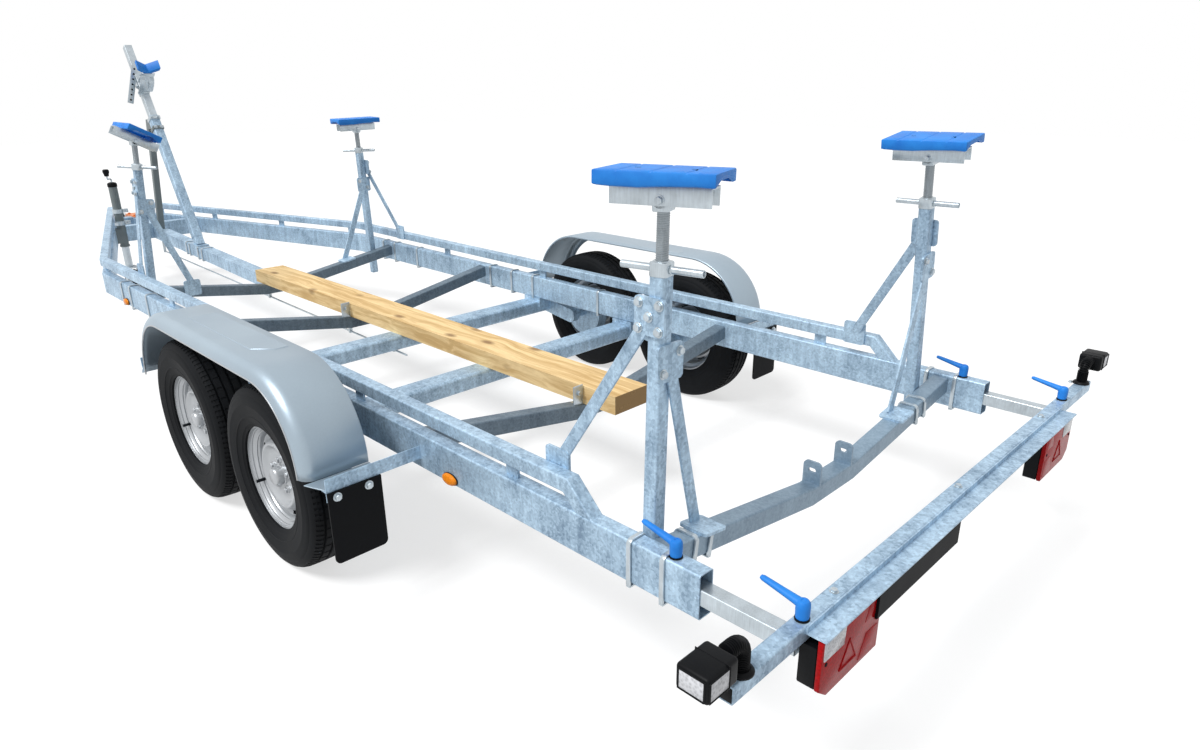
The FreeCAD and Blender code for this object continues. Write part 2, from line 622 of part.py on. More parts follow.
axle_height = size.cross_mid_top - size.axle_high / 2
front_axle = size.axle_spacing / 2
rear_axle = -size.axle_spacing / 2
arm_middle = size.axle_end + size.arm_thick / 2
disc_face = size.wheel_plane + size.disc_offset
drum_face = disc_face - size.rim_sheet - size.seat_gap
stub_end = disc_face + size.hub_cap_radius


def axle(name, wheel_x):
    tube_x = wheel_x + size.axle_ahead
    parts = [bar(f"{name}_tube", axle_profile, Vector(tube_x, -size.axle_end, axle_height),
                 Vector(tube_x, size.axle_end, axle_height))]
    half_seat = size.axle_seat / 2
    for side, side_name in ((LEFT, "left"), (RIGHT, "right")):
        def across(x, y, z):
            return Vector(x, side * y, z)
        inner, outer = size.axle_end, size.axle_end + size.arm_thick
        low_y, high_y = sorted((side * rail_inner, side * rail_outer))
        parts.append(block(f"{name}_seat_{side_name}", Vector(tube_x - half_seat, low_y, axle_height),
                           Vector(tube_x + half_seat, high_y, rail_low)))
        boss = rod(f"{name}_boss_{side_name}", across(tube_x, inner, axle_height),
                   across(tube_x, outer, axle_height), "sizes.arm_round")
        hub = rod(f"{name}_hub_{side_name}", across(wheel_x, inner, size.wheel_lift),
                  across(wheel_x, outer, size.wheel_lift), "sizes.arm_round")
        start, end = across(tube_x, arm_middle, axle_height), across(wheel_x, arm_middle, size.wheel_lift)
        web = doc.addObject("Part::Box", f"{name}_web_{side_name}")
        bind(web, Width="2 * sizes.arm_round", Length="sizes.arm_thick")
        web.Height = (end - start).Length
        place = frame_along(start, end, X_AXIS)
        corner = place.multVec(Vector(-size.arm_thick / 2, -size.arm_round, 0))
        web.Placement = FreeCAD.Placement(corner, place.Rotation)
        drum = rod(f"{name}_drum_{side_name}", across(wheel_x, drum_face - size.hub_radius - size.drum_deep, size.wheel_lift),
                   across(wheel_x, drum_face - size.hub_radius, size.wheel_lift), "sizes.drum_radius")
        stub = rod(f"{name}_stub_{side_name}", across(wheel_x, outer, size.wheel_lift),
                   across(wheel_x, stub_end, size.wheel_lift), "sizes.stub_radius")
        parts += [boss, hub, web, drum, stub]
    return fuse(name, parts)


keep("axle_front", axle("axle_front", front_axle))
keep("axle_rear", axle("axle_rear", rear_axle))

# Road wheels: a revolved tyre and a revolved rim with its hub, for each corner

def revolved(name, points, x, side, y):
    """Revolve an outline of (distance outward, radius) points about a wheel's axis."""
    profile = outline(f"{name}_outline", points)
    turned = doc.addObject("Part::Revolution", name)
    turned.Source = profile
    turned.Axis = X_AXIS
    turned.Base = Vector(0, 0, 0)
    turned.Angle = 360
    turned.Solid = True
    turned.FaceMakerClass = "Part::FaceMakerBullseye"
    turned.Placement = FreeCAD.Placement(Vector(x, side * y, size.wheel_lift),
                                         FreeCAD.Rotation(Z_AXIS, 90 * side))
    return turned


half_tyre = size.tyre_wide / 2
half_rim = size.rim_wide / 2
tyre_gap = size.seat_gap
shoulder = size.tyre_wide * 0.4
tyre_points = [
    (-half_rim * 0.85, size.bead_radius + tyre_gap), (-half_rim * 0.88, size.rim_radius + size.rim_sheet, 4),
    (-half_tyre, (size.rim_radius + size.tyre_radius) / 2, 30), (-shoulder, size.tyre_radius, 14),
    (shoulder, size.tyre_radius, 14), (half_tyre, (size.rim_radius + size.tyre_radius) / 2, 30),
    (half_rim * 0.88, size.rim_radius + size.rim_sheet, 4), (half_rim * 0.85, size.bead_radius + tyre_gap)]
sheet_t = size.rim_sheet
disc_out = size.disc_offset
bore = size.stub_radius + size.stub_gap
cap_end = disc_out + size.hub_cap_radius * 2
rim_points = [
    (-half_rim, size.bead_radius - sheet_t), (-half_rim, size.rim_radius), (-half_rim + sheet_t, size.rim_radius),
    (-half_rim + sheet_t, size.bead_radius), (-half_rim * 0.4, size.bead_radius), (-half_rim * 0.3, size.well_radius),
    (half_rim * 0.2, size.well_radius), (half_rim * 0.35, size.bead_radius), (half_rim - sheet_t, size.bead_radius),
    (half_rim - sheet_t, size.rim_radius), (half_rim, size.rim_radius), (half_rim, size.bead_radius - sheet_t),
    (half_rim * 0.4, size.bead_radius - sheet_t), (half_rim * 0.25, size.well_radius - sheet_t),
    (disc_out + sheet_t * 3, size.well_radius * 0.72), (disc_out, size.hub_radius * 1.15), (disc_out, size.hub_cap_radius * 1.3),
    (disc_out + size.hub_cap_radius, size.hub_cap_radius), (cap_end, size.hub_cap_radius, 8), (cap_end, 0),
    (disc_out + size.hub_cap_radius + size.seat_gap * 2, 0), (disc_out + size.hub_cap_radius + size.seat_gap * 2, bore),
    (disc_out - sheet_t - size.hub_radius + size.seat_gap, bore),
    (disc_out - sheet_t - size.hub_radius + size.seat_gap, size.hub_radius),
    (disc_out - sheet_t, size.hub_radius), (disc_out - sheet_t, size.hub_radius * 1.1),
    (disc_out + sheet_t * 2, size.well_radius * 0.75), (0, size.well_radius - sheet_t), (-half_rim * 0.35, size.well_radius - sheet_t),
    (-half_rim * 0.45, size.bead_radius - sheet_t)]
for place, x in (("front", front_axle), ("rear", rear_axle)):
    for side, side_name in ((LEFT, "left"), (RIGHT, "right")):
        corner = f"{place}_{side_name}"
        keep(f"tyre_{corner}", revolved(f"tyre_{corner}", tyre_points, x, side, size.wheel_plane))
        keep(f"rim_{corner}", revolved(f"rim_{corner}", rim_points, x, side, size.wheel_plane))

# Fenders: one long arch over both wheels of a side, with a skirt along each edge

def arch_outline(name, inset, depth):
    """The band between two arches: the outer one moved in by inset, the inner one by depth."""
    radius = size.fender_arc
    lines = []
    for step in (inset, depth):
        r = radius - step
        front_x = size.fender_front - radius
        rear_x = size.fender_rear + radius
        height = size.fender_top - radius
        front_turn = math.asin((size.fender_front_low - size.fender_sheet - height) / radius)
        rear_turn = math.asin((size.fender_rear_low - size.fender_sheet - height) / radius)
        lines.append((r, front_x, rear_x, height, front_turn, rear_turn))
    sketch = doc.addObject("Sketcher::SketchObject", name)
    ends = []
    for r, front_x, rear_x, height, front_turn, rear_turn in lines:
        front_circle = Part.Circle(Vector(front_x, height, 0), Z_AXIS, r)
        rear_circle = Part.Circle(Vector(rear_x, height, 0), Z_AXIS, r)
        sketch.addGeometry(Part.ArcOfCircle(front_circle, front_turn, math.pi / 2))
        sketch.addGeometry(Part.ArcOfCircle(rear_circle, math.pi / 2, math.pi - rear_turn))
        sketch.addGeometry(Part.LineSegment(Vector(front_x, height + r, 0), Vector(rear_x, height + r, 0)))
        ends.append((Vector(front_x + r * math.cos(front_turn), height + r * math.sin(front_turn), 0),
                     Vector(rear_x - r * math.cos(rear_turn), height + r * math.sin(rear_turn), 0)))
    sketch.addGeometry(Part.LineSegment(ends[0][0], ends[1][0]))
    sketch.addGeometry(Part.LineSegment(ends[0][1], ends[1][1]))
    return sketch


def end_inset(low):
    """How far a fender's lower end at this height lies inside its longest reach."""
    rise = (low - size.fender_top + size.fender_arc) / size.fender_arc
    return size.fender_arc * (1 - math.cos(math.asin(rise)))


front_edge = size.fender_front - end_inset(size.fender_front_low) - size.fender_sheet
rear_edge = size.fender_rear + end_inset(size.fender_rear_low) + size.fender_sheet
arch_outer = arch_outline("arch_outer", 0, size.fender_skirt)
arch_inner = arch_outline("arch_inner", size.fender_sheet, size.fender_skirt + size.overrun)
fender_inner = size.fender_outer - size.fender_wide
fender_middle = size.fender_outer - size.fender_wide / 2
for side, side_name in ((LEFT, "left"), (RIGHT, "right")):
    stand = FreeCAD.Placement(Vector(0, side * fender_middle, 0), FreeCAD.Rotation(X_AXIS, 90))
    body = extrude(f"fender_body_{side_name}", arch_outer, "sizes.fender_wide", stand, centred=True)
    room = extrude(f"fender_room_{side_name}", arch_inner,
                   "sizes.fender_wide - 2 * sizes.fender_sheet", stand, centred=True)
    hollow = cut(f"fender_hollow_{side_name}", body, room)
    low_y, high_y = sorted((side * fender_inner, side * size.fender_outer))
    lips = [block(f"fender_lip_{place}_{side_name}", Vector(low, low_y, top - size.fender_sheet), Vector(high, high_y, top))
            for place, low, high, top in (
                ("front", front_edge, size.fender_front + size.fender_lip, size.fender_front_low),
                ("rear", size.fender_rear - size.fender_lip, rear_edge, size.fender_rear_low))]
    keep(f"fender_{side_name}", fuse(f"fender_{side_name}", [hollow] + lips))

# Brackets from the rails to the fenders, and the mud flaps on the rear ones

def bracket_outline(name, way):
    """An angle seen from the side: its leg stands across the end of a lip, its foot runs under it."""
    side, wall = size.bracket_side, size.bracket_wall
    points = [(0, -side), (wall, -side), (wall, 0), (side, 0), (side, wall), (0, wall)]
    return outline(name, [(x * way, y) for x, y in points])


brackets = []
flaps = []
flap_edge = size.fender_outer - size.flap_inset
rear_leg = size.fender_rear - size.fender_lip - size.bracket_wall
front_leg = size.fender_front + size.fender_lip + size.bracket_wall
bracket_ends = (("rear", rear_leg, 1, size.fender_rear_low), ("front", front_leg, -1, size.fender_front_low))
for side, side_name in ((LEFT, "left"), (RIGHT, "right")):
    for place, x, way, top in bracket_ends:
        start = Vector(x, min(side * rail_outer, side * flap_edge), top - size.fender_sheet)
        angle = bracket_outline(f"bracket_outline_{place}_{side_name}", way)
        brackets.append(extrude(f"bracket_{place}_{side_name}", angle, flap_edge - rail_outer,
                                FreeCAD.Placement(start, FreeCAD.Rotation(X_AXIS, -90))))
    flap_profile = outline(f"flap_outline_{side_name}", [
        (0, 0), (size.flap_wide, 0), (size.flap_wide, -size.flap_high, size.flap_round),
        (0, -size.flap_high, size.flap_round)])
    flap_x = rear_leg - size.flap_thick
    low_y = flap_edge - size.flap_wide if side == LEFT else -flap_edge
    tab_low = Vector(rear_leg, low_y, size.fender_rear_low - size.fender_sheet - size.bracket_wall - size.bracket_tab)
    tab = block(f"flap_tab_{side_name}", tab_low,
                tab_low + Vector(size.bracket_wall, size.flap_wide, size.bracket_tab + size.bracket_wall))
    brackets[-2] = fuse(f"bracket_tabbed_{side_name}", [brackets[-2], tab])
    flap = extrude(f"flap_{side_name}", flap_profile, "sizes.flap_thick",
                   FreeCAD.Placement(Vector(flap_x, low_y, size.fender_rear_low - size.fender_sheet - size.bracket_wall),
                                     FreeCAD.Rotation(Y_AXIS, Z_AXIS, X_AXIS, "ZXY")))
    flaps.append(flap)
keep("fender_brackets", group("fender_brackets", brackets))
keep("mud_flaps", group("mud_flaps", flaps))

# Posts: a leaning square tube beside its cross member, with flat braces and clamp plates

half_post = size.post_side / 2
half_cross = size.cross_side / 2
half_plate = size.gusset_thick / 2
upper_top = size.rail_top + size.upper_lift + size.upper_side


def post_frame(x, side, out, lean_angle):
    """The placement of a post's foot; its Z runs up the middle of the post."""
    return FreeCAD.Placement(Vector(x, side * out, size.post_foot_lift), FreeCAD.Rotation(X_AXIS, side * lean_angle))


def clamp_plate(name, centre, along, normal):
    """A square plate with small corner radii; along and normal give its directions."""
    half = size.gusset_side / 2
    profile = outline(f"{name}_outline", [(x * half, y * half, half / 4) for x, y in ((-1, -1), (1, -1), (1, 1), (-1, 1))])
    place = frame_along(centre - normal * half_plate, centre + normal, along)
    return extrude(name, profile, "sizes.gusset_thick", place)


def braced_post(name, stand, side, low, top, forward, inward, cross, member, hanging):
    """A square tube with a flat brace to the upper rail and one to the cross member beside it."""
    def on_post(x, y, z):
        return stand.multVec(Vector(x, side * y, z - size.post_foot_lift))
    place, mid_top, end_top, flat = cross
    foot_x, foot_out = stand.Base.x, abs(stand.Base.y)
    upward = stand.Rotation.multVec(Z_AXIS)
    outward = stand.Rotation.multVec(Y_AXIS * side)
    tube = bar(f"{name}_tube", post_profile, on_post(0, 0, low), on_post(0, 0, top), X_AXIS)
    head = on_post(math.copysign(half_post / 2, forward), half_post + half_plate, top - size.gusset_side)
    foot = Vector(foot_x + forward, side * (rail_line - size.upper_side / 2 - half_plate), upper_top)
    head_plate = clamp_plate(f"{name}_head_plate", head, upward, outward)
    foot_plate = clamp_plate(f"{name}_foot_plate", foot, Z_AXIS, Y_AXIS * side)
    long_brace = bar(f"{name}_long_brace", brace_profile, head, foot, X_AXIS)
    slope = (end_top - mid_top) / (rail_inner - flat)
    foot_y = foot_out - inward
    member_top = mid_top + slope * (foot_y - flat)
    brace_x = -(half_post + half_plate)
    if hanging:
        seat = Vector(place - half_cross - half_plate, side * foot_y, member_top - half_plate)
        seat_plate = clamp_plate(f"{name}_seat_plate", seat, Z_AXIS, X_AXIS)
        brace_end = seat + Z_AXIS * (size.gusset_side / 3)
    else:
        along = Vector(0, side, slope).normalize()
        upright = X_AXIS.cross(along) * side
        seat = Vector(place, side * foot_y, member_top) + upright * half_plate
        seat_plate = clamp_plate(f"{name}_seat_plate", seat, along, upright)
        brace_end = Vector(foot_x + brace_x, seat.y, seat.z)
    shoulder = on_post(brace_x, -half_post / 2, top - size.gusset_side * 2.2)
    shoulder_plate = clamp_plate(f"{name}_shoulder_plate", shoulder, upward, X_AXIS)
    cross_brace = bar(f"{name}_cross_brace", flat_profile, shoulder, brace_end, X_AXIS)
    braced = fuse(f"{name}_braced", [tube, head_plate, foot_plate, long_brace, seat_plate, shoulder_plate, cross_brace])
    clear_of_rail = cut(f"{name}_clear", braced, upper_sides[0 if side == LEFT else 1])
    return cut(name, clear_of_rail, member)


front_cross = (size.cross_front_place, size.cross_mid_top, size.cross_front_end_top, size.cross_flat_half)
rear_cross = (size.beam_place, size.beam_mid_top, size.beam_end_top, size.beam_flat_half)
front_x = size.cross_front_place + half_cross + half_post
rear_x = size.beam_place + half_cross + half_post
stands = {
    "front_left": post_frame(front_x, LEFT, size.front_post_left, size.front_lean_left),
    "front_right": post_frame(front_x, RIGHT, size.front_post_right, size.front_lean_right),
    "rear_left": post_frame(rear_x, LEFT, size.rear_post_left, size.rear_lean_left),
    "rear_right": post_frame(rear_x, RIGHT, size.rear_post_right, size.rear_lean_right)}
front_posts = []
rear_posts = []
for side, side_name, inward in ((LEFT, "left", size.brace_inward_front), (RIGHT, "right", size.brace_inward_right)):
    front_posts.append(braced_post(f"post_front_{side_name}", stands[f"front_{side_name}"], side, size.front_post_low,
                                   size.front_post_top, -size.front_brace_reach, inward, front_cross, front_member,
                                   side == LEFT))
for side, side_name, inward in ((LEFT, "left", size.brace_inward_left), (RIGHT, "right", size.brace_inward_right)):
    rear_posts.append(braced_post(f"post_rear_{side_name}", stands[f"rear_{side_name}"], side, size.rear_post_low,
                                  size.rear_post_top, size.rear_brace_reach, inward, rear_cross, rear_bar, False))
keep("posts_front", group("posts_front", front_posts))
keep("posts_rear", group("posts_rear", rear_posts))

# Spindle nuts with two handles, spindles with a knuckle and a pin, and pads that tilt on the pins

def local_block(name, frame, low, high):
    """A box between two corners that are given in a frame."""
    item = block(name, low, high)
    item.Placement = frame.multiply(item.Placement)
    return item


def local_rod(name, frame, start, end, radius):
    return rod(name, frame.multVec(start), frame.multVec(end), radius)


nut_bore = "sizes.spindle_radius + sizes.spindle_gap"
half_nut = size.nut_side / 2
half_knuckle = size.block_wide / 2
half_cradle = half_knuckle + size.seat_gap + size.cradle_wall
nuts = []
for corner, top, spindle_top, turn, tilt in (
        ("front_left", size.front_post_top, size.front_spindle_top, size.pad_turn_front_left, size.pad_tilt_front_left),
        ("front_right", size.front_post_top, size.front_spindle_top, size.pad_turn_front_right, 0),
        ("rear_left", size.rear_post_top, size.rear_spindle_top, size.pad_turn_rear_left, 0),
        ("rear_right", size.rear_post_top, size.rear_spindle_top, size.pad_turn_rear_right, 0)):
    stand = stands[corner]
    nut_frame = stand.multiply(at(0, 0, top - size.post_foot_lift, Z_AXIS, turn / 2))
    body = local_block(f"nut_body_{corner}", nut_frame, Vector(-half_nut, -half_nut, 0),
                       Vector(half_nut, half_nut, size.nut_high))
    reach = size.handle_long / 2
    handles = local_rod(f"nut_handles_{corner}", nut_frame, Vector(-reach, 0, size.nut_high / 2),
                        Vector(reach, 0, size.nut_high / 2), "sizes.handle_radius")
    hole = local_rod(f"nut_hole_{corner}", nut_frame, Vector(0, 0, -size.overrun),
                     Vector(0, 0, size.nut_high + size.overrun), nut_bore)
    nuts.append(cut(f"nut_{corner}", fuse(f"nut_whole_{corner}", [body, handles]), hole))
    pin_lift = spindle_top + size.block_high - size.post_foot_lift
    pin_frame = stand.multiply(at(0, 0, pin_lift, Z_AXIS, turn))
    stem = local_rod(f"stem_{corner}", pin_frame, Vector(0, 0, -size.block_high - size.spindle_long),
                     Vector(0, 0, -size.block_high), "sizes.spindle_radius")
    knuckle = local_rod(f"knuckle_{corner}", pin_frame, Vector(0, -half_knuckle, 0), Vector(0, half_knuckle, 0),
                        "sizes.block_radius")
    neck = local_block(f"neck_{corner}", pin_frame, Vector(-size.block_radius, -half_knuckle, -size.block_high),
                       Vector(size.block_radius, half_knuckle, 0))
    pin = local_rod(f"pad_pin_{corner}", pin_frame, Vector(0, -half_cradle, 0), Vector(0, half_cradle, 0),
                    "sizes.pin_radius")
    keep(f"spindle_{corner}", fuse(f"spindle_{corner}", [stem, neck, knuckle, pin]))
    pad_frame = pin_frame.multiply(FreeCAD.Placement(Vector(0, 0, 0), FreeCAD.Rotation(Y_AXIS, tilt)))
    web_low = size.block_radius + size.cradle_room
    cradle_top = web_low + size.cradle_wall
    shell = local_block(f"cradle_shell_{corner}", pad_frame,
                        Vector(-size.cradle_long / 2, -half_cradle, -size.cradle_below),
                        Vector(size.cradle_long / 2, half_cradle, cradle_top))
    inner = half_cradle - size.cradle_wall
    inside = local_block(f"cradle_room_{corner}", pad_frame,
                         Vector(-size.cradle_long, -inner, -size.cradle_below - size.overrun),
                         Vector(size.cradle_long, inner, web_low))
    pin_hole = local_rod(f"pin_hole_{corner}", pad_frame, Vector(0, -2 * half_cradle, 0), Vector(0, 2 * half_cradle, 0),
                         "sizes.pin_radius + sizes.stub_gap")
    cradle = cut(f"cradle_{corner}", cut(f"cradle_open_{corner}", shell, inside), pin_hole)
    half_slab = Vector(size.pad_long / 2, size.pad_wide / 2, 0)
    if tilt:
        half_slab = Vector(half_slab.y, half_slab.x, 0)
    slab = local_block(f"slab_{corner}", pad_frame, Z_AXIS * cradle_top - half_slab,
                       Z_AXIS * (cradle_top + size.pad_thick) + half_slab)
    keep(f"pad_{corner}", fuse(f"pad_{corner}", [cradle, slab]))
    pin_at = pin_frame.Base
    pin_along = pin_frame.Rotation.multVec(Y_AXIS)
    pad_top = pad_frame.multVec(Vector(0, 0, cradle_top + size.pad_thick))
    pad_up = pad_frame.Rotation.multVec(Z_AXIS)
    spindle_up = stand.Rotation.multVec(Z_AXIS)
    for what, vector in (("pin", pin_at), ("along", pin_along), ("top", pad_top), ("up", pad_up), ("lift", spindle_up)):
        print(f"{corner} {what} {vector.x:.5f} {vector.y:.5f} {vector.z:.5f}")
keep("spindle_nuts", group("spindle_nuts", nuts))

# Bow stand: a slanted sleeve from the spine beam, a front leg on the drawbar, and the mast in the sleeve

lean = math.radians(size.bow_lean)
lean_dir = Vector(math.sin(lean), 0, math.cos(lean))
lean_normal = Vector(-math.cos(lean), 0, math.sin(lean))
bow_foot = Vector(size.bow_foot_place, 0, size.bow_foot_top)
sleeve_start = bow_foot + lean_dir * size.sleeve_side
sleeve_end = bow_foot + lean_dir * size.bow_sleeve_long
sleeve = bar("bow_sleeve_tube", sleeve_profile, sleeve_start, sleeve_end)
lug_root = sleeve_end - lean_dir * size.sleeve_side
leg_top = lug_root + X_AXIS * size.bow_leg_ahead + Z_AXIS * size.bow_lug_high / 2
leg_bar = bar("bow_leg_bar", leg_profile, Vector(size.bow_leg_place, 0, size.spine_front_top - size.bow_leg_side), leg_top,
              X_AXIS)
lug_start = lug_root - Vector(0, size.bow_leg_side / 2, size.bow_lug_high / 2)
lug = block("bow_leg_lug", lug_start, lug_start + Vector(size.bow_leg_ahead, size.bow_leg_side, size.bow_lug_high))
leg = fuse("bow_leg_whole", [leg_bar, lug])
foot_plate = block("bow_foot_plate", bow_foot + Vector(-size.sleeve_side, -size.spine_side / 2, 0),
                   bow_foot + Vector(size.sleeve_side * 2, size.spine_side / 2, size.gusset_thick))
sleeve_middle = "sizes.mast_side + 2 * sizes.mast_gap + sizes.sleeve_wall"
foot_stem = bar("bow_foot_stem", section("stem_profile", sleeve_middle, sleeve_middle, "sizes.post_round"), bow_foot,
                sleeve_start + lean_dir * size.sleeve_wall)
mast_room = bar("mast_room", section("mast_room_profile", "sizes.mast_side + 2 * sizes.mast_gap",
                                     "sizes.mast_side + 2 * sizes.mast_gap", "sizes.post_round"),
                sleeve_start + lean_dir * size.sleeve_wall, sleeve_end + lean_dir * size.sleeve_side)
bow_whole = fuse("bow_whole", [sleeve, foot_plate, foot_stem])
keep("bow_sleeve", cut("bow_sleeve", cut("bow_seated", bow_whole, spine_beam), mast_room))
sleeve_room = bar("sleeve_room", section("sleeve_room_profile", sleeve_wide, sleeve_wide, "sizes.post_round"),
                  sleeve_start, sleeve_end)
keep("bow_leg", cut("bow_leg", cut("bow_leg_footed", leg, spine_beam), sleeve_room))
mast_top = bow_foot + lean_dir * size.bow_mast_reach
mast_low = mast_top - lean_dir * size.bow_mast_long
keep("bow_mast", bar("bow_mast", mast_profile, mast_low, mast_top))
back_dir = lean_dir.cross(Y_AXIS)
block_base = (mast_top - lean_dir * (size.bow_block_drop + size.bow_block_high)
              + back_dir * size.bow_block_behind)
arm = bar("bow_arm", brace_profile, block_base - back_dir * size.bow_block_behind - lean_dir * size.bow_block_high / 2,
          block_base - back_dir * size.bow_block_thick / 2 + lean_dir * size.bow_block_high / 4, X_AXIS)
half_block = size.bow_block_wide / 2
wing_rear = size.bow_block_deep
wing_front = size.bow_block_deep - size.bow_block_thick
vee = outline("vee_outline", [(-half_block, wing_rear), (-half_block, wing_front), (0, -size.bow_block_thick),
                              (half_block, wing_front), (half_block, wing_rear), (0, 0)])
vee_block = extrude("vee_block", vee, "sizes.bow_block_high",
                    FreeCAD.Placement(block_base, FreeCAD.Rotation(Y_AXIS, back_dir, lean_dir, "ZXY")))
mast_core = bar("mast_core", section("mast_core_profile", "sizes.mast_side", "sizes.mast_side", "sizes.post_round"),
                mast_low, mast_top)
keep("bow_block", cut("bow_block", fuse("bow_block_whole", [arm, vee_block]), mast_core))

# Overrun housing, draw shaft with bellows, coupling head and handbrake lever

shaft_rear = head_place + half_nose
housing_front = shaft_rear + size.housing_long
bellows_front = housing_front + size.bellows_long
coupling_front = bellows_front + size.coupling_long
axis_z = size.coupling_lift
flange = block("housing_flange", Vector(shaft_rear - size.housing_long / 2, -size.drawbar_wide / 2, size.rail_top),
               Vector(housing_front - size.housing_long / 2, size.drawbar_wide / 2, size.rail_top + size.gusset_thick))
barrel = rod("housing_barrel", Vector(shaft_rear, 0, axis_z), Vector(housing_front, 0, axis_z), "sizes.housing_radius")
saddle = block("housing_saddle", Vector(shaft_rear, -size.shaft_radius, axis_z),
               Vector(housing_front - size.housing_long / 2, size.shaft_radius, size.rail_top))
keep("overrun_housing", fuse("overrun_housing", [flange, saddle, barrel]))
bellows = rod("bellows", Vector(housing_front, 0, axis_z), Vector(bellows_front, 0, axis_z), "sizes.bellows_radius")
keep("shaft_bellows", bellows)
half_head = size.coupling_wide / 2
head_outline = outline("head_outline", [
    (bellows_front, -half_head * 0.7), (coupling_front - half_head, -half_head, half_head * 0.5),
    (coupling_front, -half_head, half_head * 0.9), (coupling_front, half_head, half_head * 0.9),
    (coupling_front - half_head, half_head, half_head * 0.5), (bellows_front, half_head * 0.7)])
head_low = axis_z - size.socket_deep
head_body = extrude("head_body", head_outline, 2 * size.socket_deep, at(0, 0, head_low))
socket_x = coupling_front - half_head * 1.1
socket = rod("head_socket", Vector(socket_x, 0, head_low - size.overrun), Vector(socket_x, 0, head_low + size.socket_deep),
             "sizes.ball_radius")
keep("coupling_head", cut("coupling_head", head_body, socket))
lever_foot = Vector(shaft_rear + size.housing_long * 0.5, size.housing_radius + size.brace_thick / 2, axis_z)
lever_tip = lever_foot + Vector(size.lever_long * 0.6, 0, size.lever_long * 0.8)
keep("handbrake", bar("handbrake", brace_profile, lever_foot, lever_tip, X_AXIS))

# Jockey wheel: an outer tube clamped inside the left rail, an inner tube that slides, a fork that swivels

jx, jy = size.jockey_place, size.jockey_out
tube_solid = rod("jockey_tube_solid", Vector(jx, jy, size.jockey_low), Vector(jx, jy, size.jockey_top), "sizes.jockey_radius")
tube_room = rod("jockey_tube_room", Vector(jx, jy, size.jockey_low - size.overrun),
                Vector(jx, jy, size.jockey_top - size.jockey_wall), "sizes.jockey_radius - sizes.jockey_wall")
arm_line = taper_line(jx)
bracket = block("jockey_bracket", Vector(jx - size.jockey_radius, jy, rail_low + size.rail_round),
                Vector(jx + size.jockey_radius, arm_line, size.rail_top - size.rail_round))
jockey_outer = fuse("jockey_outer", [tube_solid, bracket])
jockey_cut = cut("jockey_cut", jockey_outer, tube_room)
keep("jockey_tube", cut("jockey_tube", jockey_cut, rails_room))
keep("jockey_leg", rod("jockey_leg", Vector(jx, jy, size.jockey_leg_low), Vector(jx, jy, size.jockey_leg_top),
                       "sizes.jockey_leg_radius"))
wheel_x = jx - size.jockey_trail
wheel_z = size.jockey_wheel_radius
half_wide = size.jockey_wheel_wide / 2
fork_in = half_wide + size.overrun / 2
fork_top = size.jockey_leg_low - size.seat_gap
crown = block("fork_crown", Vector(wheel_x - size.jockey_leg_radius, jy - fork_in - size.fork_wall, fork_top - size.fork_wall * 2),
              Vector(jx + size.jockey_leg_radius, jy + fork_in + size.fork_wall, fork_top))
fork = [crown]
for k, side in (("left", LEFT), ("right", RIGHT)):
    low_y = jy + (fork_in if side == LEFT else -fork_in - size.fork_wall)
    fork.append(block(f"fork_cheek_{k}", Vector(wheel_x - size.jockey_leg_radius, low_y, wheel_z - size.jockey_leg_radius),
                      Vector(wheel_x + size.jockey_leg_radius, low_y + size.fork_wall, fork_top)))
axle_pin = rod("fork_pin", Vector(wheel_x, jy - fork_in - size.fork_wall, wheel_z),
               Vector(wheel_x, jy + fork_in + size.fork_wall, wheel_z), "sizes.pin_radius")
keep("jockey_fork", fuse("jockey_fork", fork + [axle_pin]))
jockey_disc = outline("jockey_disc", [
    (-half_wide, size.pin_radius + size.stub_gap), (half_wide, size.pin_radius + size.stub_gap),
    (half_wide, size.jockey_wheel_radius, half_wide * 0.5), (-half_wide, size.jockey_wheel_radius, half_wide * 0.5)])
turned = doc.addObject("Part::Revolution", "jockey_wheel")
turned.Source = jockey_disc
turned.Axis = X_AXIS
turned.Base = Vector(0, 0, 0)
turned.Angle = 360
turned.Solid = True
turned.FaceMakerClass = "Part::FaceMakerBullseye"
turned.Placement = FreeCAD.Placement(Vector(wheel_x, jy, wheel_z), FreeCAD.Rotation(Z_AXIS, 90))
keep("jockey_wheel", turned)

# Light bar on two arms that slide in the rails, with the folded board, lamps and plate holder

light_low = rail_middle + size.slide_high / 2
light_top = light_low + size.light_side
slides = []
bar_middle = light_low + size.light_side / 2
for side, side_name in ((LEFT, "left"), (RIGHT, "right")):
    slides.append(bar(f"slide_{side_name}", slide_profile, Vector(size.light_place, side * rail_line, rail_middle),
                      Vector(size.rail_rear + size.slide_reach, side * rail_line, rail_middle)))
cross_bar = bar("light_cross", light_profile, Vector(size.light_place, -size.light_half, bar_middle),
                Vector(size.light_place, size.light_half, bar_middle))
keep("light_arms", group("light_arms", slides))
keep("light_bar", cross_bar)
board_face = size.light_place - size.light_side / 2
board_back = board_face - size.board_deep
flange_low = light_top - size.board_high - size.board_sheet
board_profile = outline("board_profile", [
    (board_face, light_top), (board_face - size.board_sheet, light_top),
    (board_face - size.board_sheet, flange_low + size.board_sheet), (board_back, flange_low + size.board_sheet),
    (board_back, flange_low), (board_face, flange_low)])
keep("light_board", extrude("light_board", board_profile, "2 * sizes.board_half",
                            FreeCAD.Placement(Vector(0, size.board_shift, 0), FreeCAD.Rotation(X_AXIS, 90)), centred=True))
lens_face = board_back + size.lamp_inset
lamp_low = flange_low - size.lamp_high
lamps = []
